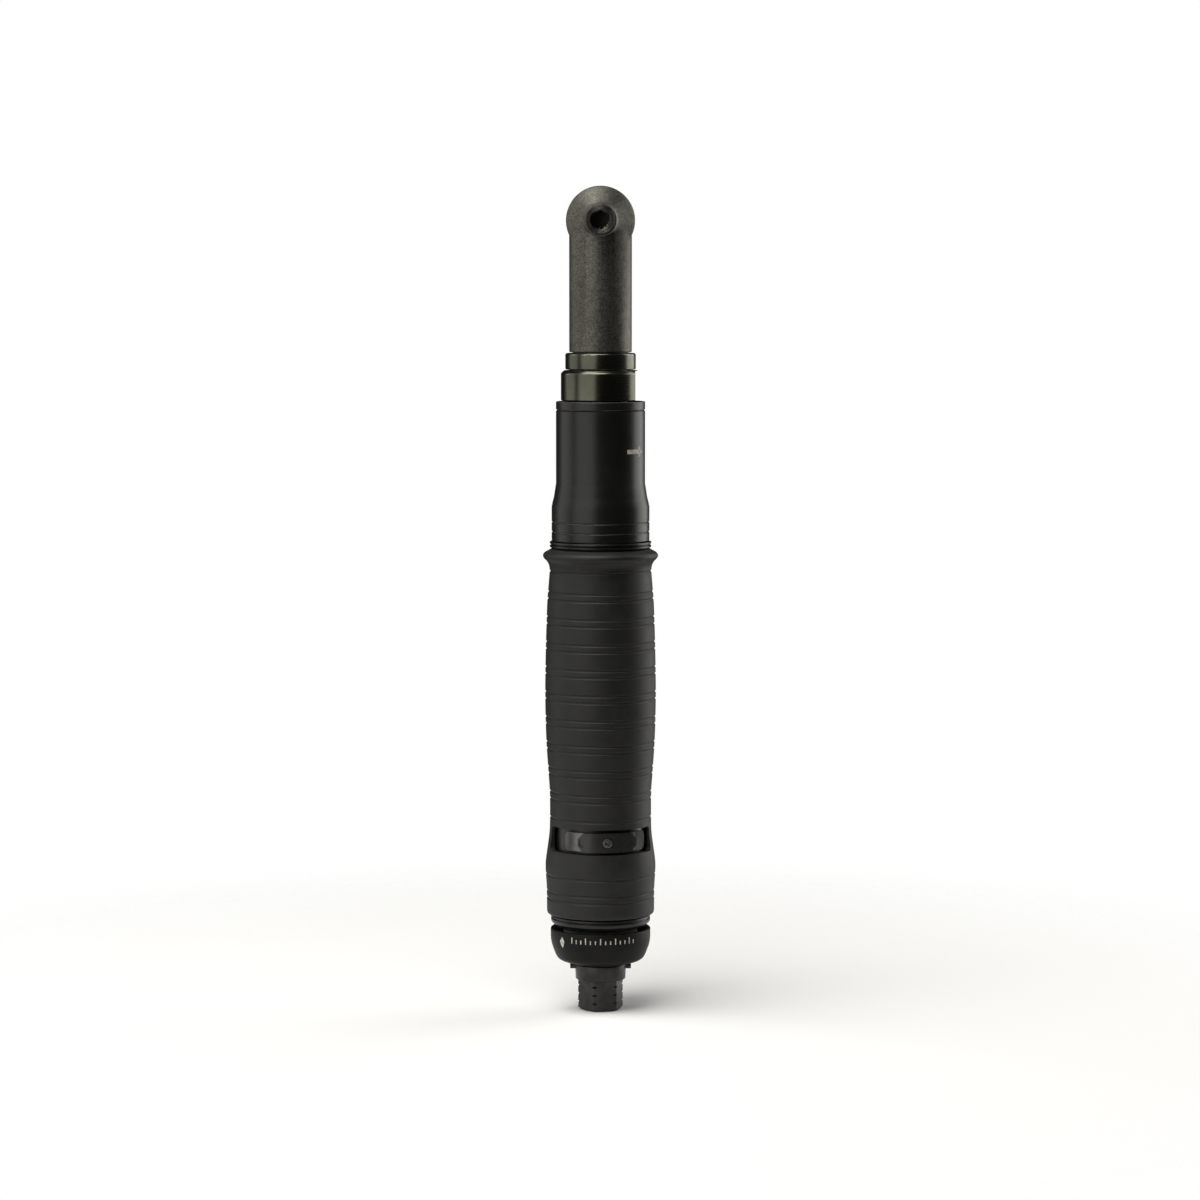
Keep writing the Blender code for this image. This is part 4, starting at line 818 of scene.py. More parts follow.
def cap_outline():
    """Outer side of the exhaust cap: a flat foot, a full bowl and a straight rim."""
    foot = CAP_LOW.z
    crown = CAP_HIGH.x
    bowl = smooth_curve([
        (11.0 * MM, foot), (13.7 * MM, foot + 0.75 * MM), (15.1 * MM, foot + 1.25 * MM),
        (16.25 * MM, foot + 2.1 * MM), (17.0 * MM, foot + 3.4 * MM), (18.0 * MM, foot + 6.0 * MM),
        (18.5 * MM, foot + 7.7 * MM), (crown - 0.03 * MM, foot + 9.6 * MM),
        (crown, foot + 11.2 * MM)], 4)
    return bowl + high_corner(crown, CAP_HIGH.z, 0.35 * MM)


class MakeExhaustEnd(bpy.types.Operator):
    """Turn the exhaust cap with its printed scale and the steel end ring above it"""

    bl_idname = "angle_tool.make_exhaust_end"
    bl_label = "Exhaust cap and end ring"

    def execute(self, context):
        wall = CAP_HIGH.x - 1.5 * MM
        hole = 7.9 * MM
        floor = CAP_LOW.z + 2.1 * MM
        outline = [(hole, CAP_LOW.z + 0.25 * MM), (hole + 0.25 * MM, CAP_LOW.z)] + cap_outline()
        outline += [(wall, CAP_HIGH.z), (wall, floor + 5.0 * MM), (0.9 * wall, floor + 1.6 * MM),
                    (0.75 * wall, floor), (hole, floor)]
        cap = turned("exhaust_cap_shell", outline, finish(context, "cap_plastic"))
        settle(cap, "tool_body", "black_plastic", "exhaust_cap")
        height = CAP_LOW.z + 10.9 * MM
        scale = [tick(x * 1.9 * MM, -1.25 * MM, (1.1 if x % 3 == 0 else 0.2) * MM, 0.42 * MM)
                 for x in range(-6, 8)]
        ink = finish(context, "printed_ink")
        marks = wrapped("cap_scale", scale, self.wall, FRONT, height, ink)
        settle(marks, "tool_body", "black_plastic")
        upward = [(-z, x) for x, z in arrow(3.9 * MM, 2.6 * MM, 0.8 * MM)]
        pointer = wrapped("cap_arrow", [upward], self.wall, FRONT - math.radians(50),
                          height - 1.3 * MM, ink)
        settle(pointer, "tool_body", "black_plastic")
        ring_outline = [(11.0 * MM, END_LOW.z), (17.3 * MM, END_LOW.z)]
        ring_outline += arc((END_HIGH.x - 1.0 * MM, END_LOW.z + 1.85 * MM), 1.0 * MM, -55, 0, 5)
        shoulder = HOUSING_LOW.z - 0.3 * MM
        ring_outline += v_groove(END_HIGH.x, shoulder - 1.1 * MM, 0.35 * MM, 0.35 * MM)
        ring_outline += high_corner(END_HIGH.x, shoulder, 0.25 * MM, 3)
        spigot = 15.3 * MM
        ring_outline += [(spigot, shoulder), (spigot, END_HIGH.z), (11.0 * MM, END_HIGH.z)]
        ring = turned("end_ring_turned", ring_outline, finish(context, "black_anodising"))
        ports = []
        for index in range(6):
            angle = (index + 0.5) * FULL_TURN / 6
            x, y = 13.15 * MM * math.cos(angle), 13.15 * MM * math.sin(angle)
            ports.append(bar(f"port_cutter_{index}", 1.3 * MM, (x, y, END_LOW.z - MM),
                             (x, y, END_HIGH.z + MM), steps=24))
        carve(ring, ports)
        settle(ring, "tool_body", "dark_steel", "end_ring")
        return {"FINISHED"}

    def wall(self, height):
        return radius_on(cap_outline(), height)


class MakeInlet(bpy.types.Operator):
    """Cut the hexagonal inlet bushing with its corner grooves and port ridges, and its two pins"""

    bl_idname = "angle_tool.make_inlet"
    bl_label = "Air inlet"

    def execute(self, context):
        shells = context.scene.angle_tool_shells
        top = INLET_HEX_TOP
        corner = INLET_FLATS / math.sqrt(3)
        place = Matrix.Translation((0, 0, top / 2)) @ Matrix.Rotation(INLET_HEX_TURN, 4, "Z")
        hexagon = hexagon_bar("inlet_hexagon", INLET_FLATS, top, place,
                              finish(context, "dark_steel"))
        barrel = [(0, -MM), (7.0 * MM - 1.73 * MM, -MM), (corner + MM, 1.6 * MM)]
        for index in range(3):
            middle = top * (index + 1) / 3.8
            barrel += v_groove(corner + MM, middle, MM + 0.62 * MM, 0.75 * MM)
        barrel += [(corner + MM, top + MM), (0, top + MM)]
        carve(hexagon, [turned("barrel_cutter", barrel, steps=96)], "INTERSECT")
        neck_top = CAP_LOW.z - 0.3 * MM
        neck = 9.4 * MM
        neck_outline = [(0, top - 0.3 * MM)]
        neck_outline += low_corner(neck, top - 0.3 * MM, 0.5 * MM)
        neck_outline += high_corner(neck + 0.2 * MM, neck_top, 0.6 * MM)
        neck_outline += [(7.6 * MM, neck_top), (7.6 * MM, INLET_HIGH.z), (0, INLET_HIGH.z)]
        carve(hexagon, [turned("neck_shape", neck_outline, steps=96)], "UNION")
        port, depth = 5.6 * MM, 12.4 * MM
        port_outline = [(0, -MM), (port + 1.5 * MM, -MM), (port, 0.6 * MM)]
        ridges = int((depth - 2.5 * MM) / shells.thread_pitch)
        for index in range(ridges):
            middle = 1.4 * MM + index * shells.thread_pitch
            port_outline += [(port, middle - 0.35 * MM), (port + 0.45 * MM, middle),
                             (port, middle + 0.35 * MM)]
        port_outline += [(port, depth), (4.5 * MM, depth + 1.0 * MM),
                         (4.5 * MM, INLET_HIGH.z + MM), (0, INLET_HIGH.z + MM)]
        carve(hexagon, [turned("port_cutter", port_outline, steps=72)])
        hexagon.name = "inlet_bushing_cut"
        soften(hexagon, 0.18 * MM, angle=40, segments=2)
        settle(hexagon, "tool_body", "dark_steel", "inlet_bushing")
        for side in ("left", "right"):
            low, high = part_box(f"bail_pin_{side}")
            middle = (low + high) / 2
            ends = sorted((low.x, high.x), key=abs)
            pin = bar(f"bail_pin_{side}_turned", (high.z - low.z) / 2,
                      (ends[0], middle.y, middle.z), (ends[1], middle.y, middle.z),
                      finish(context, "dark_steel"), dome=0.35 * MM)
            settle(pin, "tool_body", "bright_steel", f"bail_pin_{side}")
        return {"FINISHED"}


# ---------------------------------------------------------------- housing, lever and reverser


class MakeHousing(bpy.types.Operator):
    """Turn the motor housing under the rubber, with the lugs that hold the lever"""

    bl_idname = "angle_tool.make_housing"
    bl_label = "Motor housing"

    def execute(self, context):
        outer, bore = HOUSING_HIGH.x, BODY_BORE
        groove = outer - 0.8 * MM
        low, high = Z_WINDOW - 4.9 * MM, Z_WINDOW + 4.9 * MM
        outline = [(bore, HOUSING_LOW.z), (outer, HOUSING_LOW.z), (outer, low), (groove, low),
                   (groove, high), (outer, high), (outer, HOUSING_HIGH.z - 0.3 * MM),
                   (outer - 0.3 * MM, HOUSING_HIGH.z), (bore, HOUSING_HIGH.z)]
        housing = turned("motor_housing_turned", outline, finish(context, "black_anodising"),
                         steps=128)
        pivot = joint_place("lever_press")
        lugs = []
        for side in (-1, 1):
            near, far = LEVER_HIGH.x + 0.3 * MM, LEVER_HIGH.x + 3.3 * MM
            ends = sorted((side * near, side * far))
            lugs.append(block(f"lug_shape_{side + 1}",
                              (ends[0], 0.82 * (outer - MM), HOUSING_LOW.z + 0.4 * MM),
                              (ends[1], HOUSING_HIGH.y, pivot.z + 3.2 * MM), lug=2.4 * MM))
        carve(housing, lugs, "UNION")
        reach = 2 * (LEVER_HIGH.x + 3.3 * MM)
        pin_hole = bar("pin_cutter", PIN_HIGH.z - pivot.z + 0.3 * MM, (-reach, pivot.y, pivot.z),
                       (reach, pivot.y, pivot.z))
        bore_top = Z_WINDOW - 5 * MM
        clear = turned("bore_cutter", [(0, HOUSING_LOW.z - MM), (bore, HOUSING_LOW.z - MM),
                                       (bore, bore_top), (0, bore_top)], steps=128)
        rise = middle_of("throttle_pin").z
        pin_bore = bar("throttle_cutter", 1.7 * MM, (0, 0.5 * bore, rise), (0, 2 * outer, rise))
        slot = bent_band("slot_cutter", 0.8 * bore, 1.3 * outer, FRONT - math.radians(14),
                         FRONT + math.radians(14), Z_WINDOW - 1.6 * MM, Z_WINDOW + 1.6 * MM)
        carve(housing, [pin_hole, clear, pin_bore, slot])
        soften(housing, 0.25 * MM, angle=50, segments=2)
        settle(housing, "tool_body", "black_anodised", "motor_housing")
        return {"FINISHED"}


class MakeLever(bpy.types.Operator):
    """Fold the start lever round its pin, with finger ridges near its lifted tip"""

    bl_idname = "angle_tool.make_lever"
    bl_label = "Start lever and pin"

    def execute(self, context):
        pivot = joint_place("lever_press")
        opened = math.radians(6)
        pin = PIN_HIGH.z - pivot.z
        eye, half, top = pin + 1.4 * MM, 1.0 * MM, 86.0 * MM
        side = [(-half, eye * 0.8), (-half, top - 4 * MM), (0.0, top - 1.2 * MM),
                (0.9 * MM, top + 0.1 * MM), (2.4 * MM, top + 0.4 * MM), (2.95 * MM, top - 0.1 * MM),
                (3.0 * MM, top - 0.9 * MM), (2.2 * MM, top - 1.8 * MM),
                (half + 0.5 * MM, top - 3 * MM)]
        ridges = []
        for index in range(7):
            middle = top - (7 + index * 3.0) * MM
            ridges += [(half, middle + 1.0 * MM), (half + 0.35 * MM, middle + 0.6 * MM),
                       (half + 0.35 * MM, middle - 0.1 * MM), (half, middle - 0.5 * MM)]
        outline = side + ridges + arc((0, 0), eye, 60, -160, 20)
        width = LEVER_HIGH.x - LEVER_LOW.x
        bm = bmesh.new()
        face = bm.faces.new([bm.verts.new((LEVER_LOW.x, y, z)) for y, z in outline])
        grown = bmesh.ops.extrude_face_region(bm, geom=[face])["geom"]
        moved = [item for item in grown if isinstance(item, bmesh.types.BMVert)]
        bmesh.ops.translate(bm, verts=moved, vec=(width, 0, 0))
        tips = [edge for edge in bm.edges
                if abs(edge.verts[0].co.x - edge.verts[1].co.x) < 1e-6
                and min(vert.co.z for vert in edge.verts) > top - 0.2 * MM]
        ease(bm, tips, 2.2 * MM, 4)
        place = Matrix.Translation(pivot) @ Matrix.Rotation(-opened, 4, "X")
        bmesh.ops.transform(bm, matrix=place, verts=bm.verts)
        lever = finish_mesh(bm, "start_lever_bent", finish(context, "dark_steel"))
        eye_hole = bar("eye_cutter", pin + 0.3 * MM, (-width, pivot.y, pivot.z),
                       (width, pivot.y, pivot.z))
        carve(lever, [eye_hole])
        soften(lever, 0.3 * MM, angle=45, segments=2)
        settle(lever, "lever", "dark_steel", "start_lever")
        turned_pin = bar("lever_pin_turned", pin, (PIN_LOW.x, pivot.y, pivot.z),
                         (PIN_HIGH.x, pivot.y, pivot.z), finish(context, "bright_steel"),
                         dome=0.3 * MM)
        settle(turned_pin, "tool_body", "bright_steel", "lever_pin")
        return {"FINISHED"}


class MakeReverser(bpy.types.Operator):
    """Bend the reversing ring with a knurled end, and its slider plate, dimples and screw"""

    bl_idname = "angle_tool.make_reverser"
    bl_label = "Reversing ring"

    def execute(self, context):
        settings = context.scene.angle_tool_reverser
        middle = FRONT + REVERSER_REST
        inner, outer = 17.5 * MM, 18.6 * MM
        half = math.radians(53)
        ring = bent_band("reverse_ring_bent", inner, outer, middle - half, middle + half,
                         RING_LOW.z, RING_HIGH.z, finish(context, "ring_steel"), steps=164,
                         corner=1.6 * MM)
        for vert in ring.data.vertices:
            angle = math.atan2(vert.co.y, vert.co.x) - middle
            ridge = math.sin(FULL_TURN * angle / settings.knurl_pitch) < 0
            if vert.co.xy.length > (inner + outer) / 2 and angle > math.radians(35) and ridge:
                vert.co.xy *= 1 - settings.knurl_depth / outer
        soften(ring, 0.3 * MM, angle=70, segments=3)
        settle(ring, "reverser", "dark_steel", "reverse_ring")
        near, far = 18.9 * MM, 20.2 * MM
        half = math.radians(33)
        plate = bent_band("reverse_slider_moulded", near, far, middle - half, middle + half,
                          SLIDER_LOW.z, SLIDER_HIGH.z, finish(context, "slider_plastic"), steps=72,
                          corner=settings.plate_corner, corner_segments=1)
        cutters = []
        for name, turn, depth in (("left", -19.0, settings.dimple_depth),
                                  ("right", 31.0, 0.3 * settings.dimple_depth)):
            cutters.append(self.peg(f"dimple_{name}", settings.dimple_radius,
                                    FRONT + math.radians(turn), far - depth, far + 2 * MM))
        head = 1.9 * MM
        cutters.append(self.peg("screw_seat", head + 0.15 * MM, middle, near + 0.2 * MM,
                                far + 2 * MM))
        cutters.append(self.peg("shank_hole", 1.45 * MM, middle, 12 * MM, far + MM))
        for turn in (-9, 21):
            start = FRONT + math.radians(turn)
            cutters.append(bent_band(f"line_cutter_{turn}", far - 0.15 * MM, far + MM, start,
                                     start + math.radians(1.0), SLIDER_LOW.z - MM,
                                     SLIDER_HIGH.z + MM, steps=2))
        carve(plate, cutters)
        soften(plate, 0.22 * MM, angle=40, segments=2)
        settle(plate, "reverser", "black_plastic", "reverse_slider")
        top = far - 0.1 * MM
        screw = self.peg("reverse_screw_head", head, middle, near + 0.35 * MM, top,
                         finish(context, "screw_steel"), steps=48, dome=0.3 * MM)
        shank = self.peg("screw_shank", 1.14 * MM, middle, 12.5 * MM, near + 0.8 * MM)
        carve(screw, [shank], "UNION")
        outward = self.at(middle, top) - self.at(middle, 0)
        face = (Matrix.Translation(self.at(middle, top))
                @ outward.to_track_quat("Z", "Y").to_matrix().to_4x4())
        crosses = []
        for turn in (20, 110):
            cross = block(f"cross_cutter_{turn}", (-1.25 * MM, -0.28 * MM, -0.75 * MM),
                          (1.25 * MM, 0.28 * MM, 0.75 * MM), corner=0.1 * MM)
            cross.data.transform(face @ Matrix.Rotation(math.radians(turn), 4, "Z"))
            crosses.append(cross)
        carve(screw, crosses)
        settle(screw, "reverser", "bright_steel", "reverse_screw")
        return {"FINISHED"}

    def at(self, turn, radius):
        """A point round the axis, level with the window."""
        return Vector((radius * math.cos(turn), radius * math.sin(turn), Z_WINDOW))

    def peg(self, name, radius, turn, start, end, *material, **shape):
        """A round bar that points outward from the axis."""
        return bar(name, radius, self.at(turn, start), self.at(turn, end), *material, **shape)


# ---------------------------------------------------------------- clutch cover and collars


class MakeCover(bpy.types.Operator):
    """Turn the sleeve ring and the clutch cover with its grooves, slot and printed arrow"""

    bl_idname = "angle_tool.make_cover"
    bl_label = "Clutch cover"

    def execute(self, context):
        shells = context.scene.angle_tool_shells
        bore, edge = BODY_BORE, shells.edge_round
        outer = SLEEVE_HIGH.x
        beads = [(bore, SLEEVE_LOW.z)] + low_corner(outer, SLEEVE_LOW.z, 0.3 * MM)
        beads += v_groove(outer, SLEEVE_LOW.z + 1.1 * MM, 0.45 * MM, 0.4 * MM)
        beads += high_corner(outer, SLEEVE_HIGH.z, 0.3 * MM)
        ring = turned("sleeve_ring_turned", beads + [(bore, SLEEVE_HIGH.z)],
                      finish(context, "black_anodising"))
        settle(ring, "tool_body", "black_oxide", "sleeve_ring")
        skirt, body = COVER_HIGH.x, 16.65 * MM
        low, high = COVER_LOW.z, COVER_HIGH.z
        depth, half = shells.groove_depth, shells.groove_width / 2
        outline = [(bore, low)] + low_corner(skirt, low, edge)
        for rise in (3.3 * MM, 7.0 * MM):
            outline += v_groove(skirt, low + rise, depth, half)
        outline += smooth_curve([(skirt, low + 12.5 * MM), (skirt - 0.12 * MM, low + 13.3 * MM),
                                 (skirt - 0.47 * MM, low + 14.9 * MM),
                                 (body + 0.8 * MM, low + 16.4 * MM),
                                 (body + 0.33 * MM, low + 19.4 * MM),
                                 (body, low + 21.4 * MM)], 5)
        outline += v_groove(body, high - 3.2 * MM, depth + 0.08 * MM, half)
        outline += high_corner(body, high, edge) + [(bore, high)]
        cover = turned("clutch_cover_turned", outline, finish(context, "black_anodising"),
                       steps=176)
        middle = middle_of("clutch_adjuster").z
        slot = bent_band("slot_cutter", 0.85 * bore, 1.3 * body, math.radians(72),
                         math.radians(108), middle - 5 * MM, middle + 5 * MM, steps=24,
                         corner=2.0 * MM)
        carve(cover, [slot])
        soften(cover, 0.2 * MM, angle=62, segments=2)
        settle(cover, "cover", "black_anodised", "clutch_cover")
        mark = wrapped("cover_arrow", [arrow(9.0 * MM, 4.6 * MM, 1.6 * MM)], lambda height: body,
                       FRONT + math.radians(52), middle, finish(context, "printed_ink"))
        settle(mark, "cover", "black_anodised")
        return {"FINISHED"}


class MakeCollars(bpy.types.Operator):
    """Turn the coupling nut with its spanner flat, and the lock ring above it"""

    bl_idname = "angle_tool.make_collars"
    bl_label = "Coupling nut and lock ring"

    def execute(self, context):
        shells = context.scene.angle_tool_shells
        oxide = finish(context, "black_oxide")
        bore, edge = 10.6 * MM, shells.collar_round
        outer = -NUT_LOW.x
        chamfer = 1.3 * MM
        outline = [(bore, NUT_LOW.z)] + low_corner(outer, NUT_LOW.z, edge, 5)
        outline += smooth_curve([(outer, NUT_HIGH.z - chamfer - 0.3 * MM),
                                 (outer - 0.12 * MM, NUT_HIGH.z - chamfer + 0.25 * MM),
                                 (outer - chamfer + 0.25 * MM, NUT_HIGH.z - 0.12 * MM),
                                 (outer - chamfer - 0.3 * MM, NUT_HIGH.z)], 4)
        nut = turned("coupling_nut_turned", outline + [(bore, NUT_HIGH.z)], oxide, steps=176)
        flat = block("flat_cutter", (NUT_FLAT, -2 * outer, NUT_LOW.z - MM),
                     (2 * outer, 2 * outer, NUT_HIGH.z - 0.26 * MM))
        carve(nut, [flat])
        soften(nut, 0.25 * MM, angle=30, segments=3)
        settle(nut, "tool_body", "black_oxide", "coupling_nut")
        outer = LOCK_HIGH.x
        ring_outline = rounded_ring(bore, outer, LOCK_LOW.z, LOCK_HIGH.z, 0.45 * MM, 0.75 * MM, 6)
        ring = turned("lock_ring_turned", ring_outline, oxide, steps=176)
        settle(ring, "tool_body", "black_oxide", "lock_ring")
        return {"FINISHED"}


# ---------------------------------------------------------------- head


class MakeHead(bpy.types.Operator):
    """Forge the angle head: a barrel round the output axis joined to the neck, with its cap"""

    bl_idname = "angle_tool.make_head"
    bl_label = "Angle head"

    def execute(self, context):
        phosphate = finish(context, "grey_phosphate")
        barrel = HEAD_HIGH.x
        back, nose = HEAD_HIGH.y, HEAD_LOW.y
        outline = [(0, back)] + arc((barrel - 0.7 * MM, back - 0.7 * MM), 0.7 * MM, 90, 0, 5)
        shoulder, tip = -4.3 * MM, 6.1 * MM
        cone = shoulder - (barrel - tip)
        outline += smooth_curve([(barrel, shoulder + 0.9 * MM),
                                 (barrel - 0.1 * MM, shoulder + 0.1 * MM),
                                 (barrel - 0.55 * MM, shoulder - 0.5 * MM),
                                 (barrel - 1.1 * MM, shoulder - 1.1 * MM)], 4)
        outline += smooth_curve([(tip + 0.7 * MM, cone + 0.7 * MM), (tip + 0.18 * MM, cone),
                                 (tip, cone - 0.7 * MM)], 4)
        outline += arc((tip - 0.5 * MM, nose + 0.35 * MM), 0.35 * MM, 0, -90, 4)
        outline += [(0, nose)]
        head = turned("head_forging", outline, phosphate, steps=176, nose=True)
        neck = 11.68 * MM
        step_top = Z_HEAD - 2.6 * MM
        neck_outline = [(0, HEAD_LOW.z), (10.3 * MM, HEAD_LOW.z), (10.3 * MM, Z_NECK)]
        neck_outline += low_corner(neck, Z_NECK, 0.5 * MM)
        neck_outline += high_corner(neck, step_top, 0.45 * MM)
        neck_outline += [(0, step_top)]
        carve(head, [turned("neck_shape", neck_outline, steps=176)], "UNION")
        spindle = SPINDLE_HIGH.x
        cavity = barrel - 3.2 * MM
        bush, recess = spindle + 0.12 * MM, spindle + 1.4 * MM
        hollow = [(0, 2 * nose), (bush, 2 * nose), (bush, FLANGE_FRONT), (recess, FLANGE_FRONT),
                  (recess, FLANGE_BACK), (cavity, FLANGE_BACK), (cavity, back + MM), (0, back + MM)]
        neck_bore = bar("neck_bore_cutter", 8.2 * MM, (0, 0, HEAD_LOW.z - MM),
                        (0, 0, Z_HEAD - 5 * MM), steps=64)
        carve(head, [turned("cavity_cutter", hollow, steps=96, nose=True), neck_bore])
        soften(head, 0.22 * MM, angle=34, segments=2)
        settle(head, "tool_body", "phosphate", "head_housing")
        self.make_cap(context)
        return {"FINISHED"}

    def make_cap(self, context):
        radius = (BACK_HIGH.x - BACK_LOW.x) / 2
        low, high = BACK_LOW.y, BACK_HIGH.y
        outline = [(0, low), (radius, low)] + high_corner(radius, high, 0.7 * MM, 5)
        outline += [(6.2 * MM, high), (5.8 * MM, high - 0.35 * MM), (0, high - 0.35 * MM)]
        cap = turned("head_cap_turned", outline, finish(context, "dark_steel"), nose=True)
        holes = []
        for side in (-1, 1):
            x = side * 8.8 * MM
            holes.append(bar(f"spanner_hole_{side + 1}", 1.2 * MM, (x, high - 1.2 * MM, Z_HEAD),
                             (x, high + MM, Z_HEAD), steps=28))
        carve(cap, holes)
        soften(cap, 0.15 * MM, angle=50, segments=2)
        settle(cap, "tool_body", "dark_steel", "head_cap")


class MakeSpindle(bpy.types.Operator):
    """Turn the output spindle with its hexagon socket, lead-in chamfer and a little grease"""

    bl_idname = "angle_tool.make_spindle"
    bl_label = "Output spindle"

    def execute(self, context):
        face, back, radius = SPINDLE_LOW.y, SPINDLE_HIGH.y, SPINDLE_HIGH.x
        outline = [(0, face)]
        for index in range(5):
            ring = (3.95 + 0.27 * index) * MM
            outline += [(ring, face), (ring + 0.07 * MM, face + 0.05 * MM),
                        (ring + 0.14 * MM, face)]
        outline += low_corner(radius, face, 0.3 * MM)
        outline += [(radius, FLANGE_FRONT), (4.0 * MM, FLANGE_FRONT), (4.0 * MM, FLANGE_BACK),
                    (2.9 * MM, -6.2 * MM), (2.9 * MM, 7.0 * MM), (2.6 * MM, 7.0 * MM),
                    (2.6 * MM, back), (0, back)]
        spindle = turned("output_spindle_turned", outline, finish(context, "spindle_steel"),
                         steps=128, nose=True)
        place = nose_axis() @ Matrix.Translation((0, 0, face + (SOCKET_DEPTH - MM) / 2))
        socket = hexagon_bar("socket_cutter", SOCKET_FLATS, SOCKET_DEPTH + MM, place)
        chamfer = turned("chamfer_cutter", [(0, face - 0.5 * MM), (4.35 * MM, face - 0.5 * MM),
                                            (2.6 * MM, face + 1.25 * MM), (0, face + 1.25 * MM)],
                         steps=96, nose=True)
        ring = face + SOCKET_DEPTH / 2
        groove = turned("groove_cutter", [(0, ring - 0.65 * MM), (4.75 * MM, ring - 0.65 * MM),
                                          (4.75 * MM, ring + 0.65 * MM), (0, ring + 0.65 * MM)],
                        steps=96, nose=True)
        carve(spindle, [socket, chamfer, groove])
        soften(spindle, 0.1 * MM, angle=40, segments=2)
        settle(spindle, "output", "dark_steel", "output_spindle")
        self.make_grease(context, face)
        return {"FINISHED"}

    def make_grease(self, context, face):
        """Small smears on the socket's lower walls."""
        wall = 3.25 * MM
        bm = bmesh.new()
        for angle, deep, size in ((-20, 1.6, 0.75), (-38, 2.6, 0.9), (-62, 2.0, 0.8),
                                  (-95, 3.0, 0.7), (150, 3.4, 0.5)):
            turn = math.radians(angle)
            centre = (wall * math.cos(turn), face + deep * MM, Z_HEAD + wall * math.sin(turn))
            squeeze = Matrix.Diagonal((size * MM, 1.5 * size * MM, size * MM, 1))
            bmesh.ops.create_icosphere(bm, subdivisions=3, radius=0.5,
                                       matrix=Matrix.Translation(centre) @ squeeze)
        settle(finish_mesh(bm, "socket_grease", finish(context, "grease")), "output", "dark_steel")


# ---------------------------------------------------------------- inner pieces and studio


INNER_FINISHES = {
    "sintered_bronze": ("inlet_screen",),
    "grey_felt": ("silencer",),
    "grip_rubber": ("throttle_seat",),
    "red_fibre": ("vane_1", "vane_2", "vane_3", "vane_4"),
    "dark_steel": ("backhead", "reverse_valve", "motor_cylinder", "ring_gear", "clutch_housing",
                   "clutch_driver", "clutch_cam", "clutch_adjuster"),
}


class FinishInnerPieces(bpy.types.Operator):
    """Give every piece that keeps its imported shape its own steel, fibre, felt or bronze"""

    bl_idname = "angle_tool.finish_inner_pieces"
    bl_label = "Inner pieces"

    def execute(self, context):
        chosen = {node: name for name, nodes in INNER_FINISHES.items() for node in nodes}
        for node, thing in frame["nodes"].items():
            material = finish(context, chosen.get(node, "bright_steel"))
            if not thing.material_slots:
                thing.data.materials.append(material)
            for place in thing.material_slots:
                place.material = material
        return {"FINISHED"}


FLOOR_RADIUS = 0.9
SENSOR_WIDTH = 36.0
NEAREST_SEEN = 0.05
CAMERA_SIDE = -0.2 * MM
LAMP_COLOUR = (1.0, 0.99, 0.95)
LAMP_TARGET = Vector((0, 0, 0.17))
# Each softbox: its name, the setting with its watts, its place, width and height
SOFTBOXES = (
    ("front softbox", "front_light", (-0.59, -0.68, 0.36), 0.9, 1.2),
    ("left softbox", "left_light", (-0.9, 0.16, 0.36), 0.7, 1.2),
    ("right softbox", "right_light", (0.80, 0.42, 0.36), 0.72, 1.2),
    ("top softbox", "top_light", (-0.25, -0.3, 1.2), 0.9, 0.7),
)


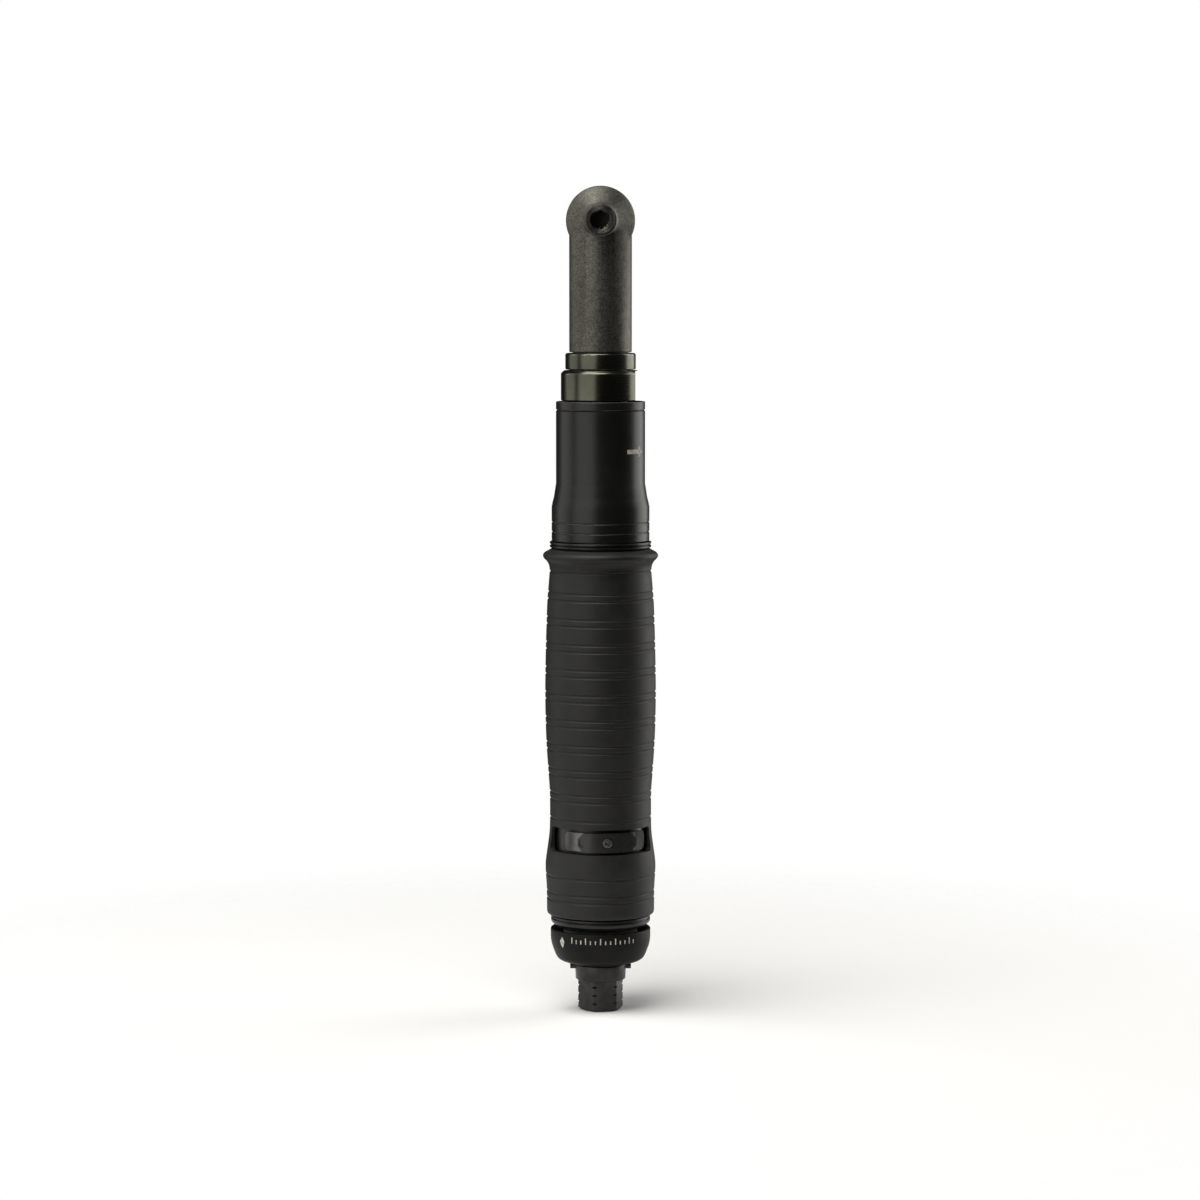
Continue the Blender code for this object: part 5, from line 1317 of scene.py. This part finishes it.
class BuildStudio(bpy.types.Operator):
    """Set the pale floor, the softboxes, the dim room and the camera"""

    bl_idname = "angle_tool.build_studio"
    bl_label = "Studio"

    def execute(self, context):
        studio = context.scene.angle_tool_studio
        bm = bmesh.new()
        bmesh.ops.create_circle(bm, cap_ends=True, segments=96, radius=FLOOR_RADIUS)
        finish_mesh(bm, "studio_floor", floor_finish(studio.floor))
        for name, watts, place, width, height in SOFTBOXES:
            self.softbox(context, name, getattr(studio, watts), place, width, height)
        context.scene.world = self.room(studio.surround)
        lens = bpy.data.cameras.new("front camera")
        lens.lens = studio.focal_length
        lens.sensor_width = SENSOR_WIDTH
        lens.clip_start = NEAREST_SEEN
        camera = bpy.data.objects.new("front camera", lens)
        camera.location = (CAMERA_SIDE, -studio.camera_distance, studio.camera_height)
        camera.rotation_euler = (math.pi / 2 - studio.camera_tilt, 0, 0)
        context.scene.collection.objects.link(camera)
        context.scene.camera = camera
        context.scene.view_settings.view_transform = "Standard"
        return {"FINISHED"}

    def softbox(self, context, name, watts, place, width, height):
        lamp = bpy.data.lights.new(name, "AREA")
        lamp.shape = "RECTANGLE"
        lamp.size, lamp.size_y = width, height
        lamp.energy = watts
        lamp.color = LAMP_COLOUR
        thing = bpy.data.objects.new(name, lamp)
        thing.location = place
        aim = LAMP_TARGET - Vector(place)
        thing.rotation_euler = aim.to_track_quat("-Z", "Y").to_euler()
        context.scene.collection.objects.link(thing)

    def room(self, surround):
        """A room that is white where the camera looks past the tool, and dim as a light."""
        world = bpy.data.worlds.new("dim room")
        world.use_nodes = True
        nodes = Nodes(world.node_tree)
        background = nodes.tree.nodes["Background"]
        seen = nodes.node("LightPath", {}, {}, "Is Camera Ray")
        level = nodes.node("MapRange", {}, {"Value": seen, "To Min": surround, "To Max": 1.0})
        nodes.feed(background.inputs["Color"], (1, 1, 1, 1))
        nodes.feed(background.inputs["Strength"], level)
        return world


OPERATORS = (MakeInlet, MakeExhaustEnd, MakeHousing, MakeGrip, MakeReverser, MakeLever, MakeCover,
             MakeCollars, MakeHead, MakeSpindle, FinishInnerPieces, BuildStudio)


class AirToolPanel(bpy.types.Panel):
    """Lists the tool's pieces in the order they are made"""

    bl_idname = "VIEW3D_PT_angle_tool"
    bl_label = "Angle air screwdriver"
    bl_space_type = "VIEW_3D"
    bl_region_type = "UI"
    bl_category = "Air tool"

    def draw(self, context):
        for operator in OPERATORS:
            self.layout.operator(operator.bl_idname, text=operator.bl_label)
        for name, group in SETTINGS.items():
            column = self.layout.column(align=True)
            for key in group.__annotations__:
                column.prop(getattr(context.scene, name), key)


def register():
    for group in SETTINGS.values():
        bpy.utils.register_class(group)
    for name, group in SETTINGS.items():
        setattr(bpy.types.Scene, name, PointerProperty(type=group))
    for operator in OPERATORS:
        bpy.utils.register_class(operator)
    bpy.utils.register_class(AirToolPanel)


def unregister():
    bpy.utils.unregister_class(AirToolPanel)
    for operator in reversed(OPERATORS):
        bpy.utils.unregister_class(operator)
    for name, group in SETTINGS.items():
        delattr(bpy.types.Scene, name)
        bpy.utils.unregister_class(group)


def main():
    register()
    for operator in OPERATORS:
        group, call = operator.bl_idname.split(".")
        getattr(getattr(bpy.ops, group), call)()


if __name__ == "__main__":
    main()
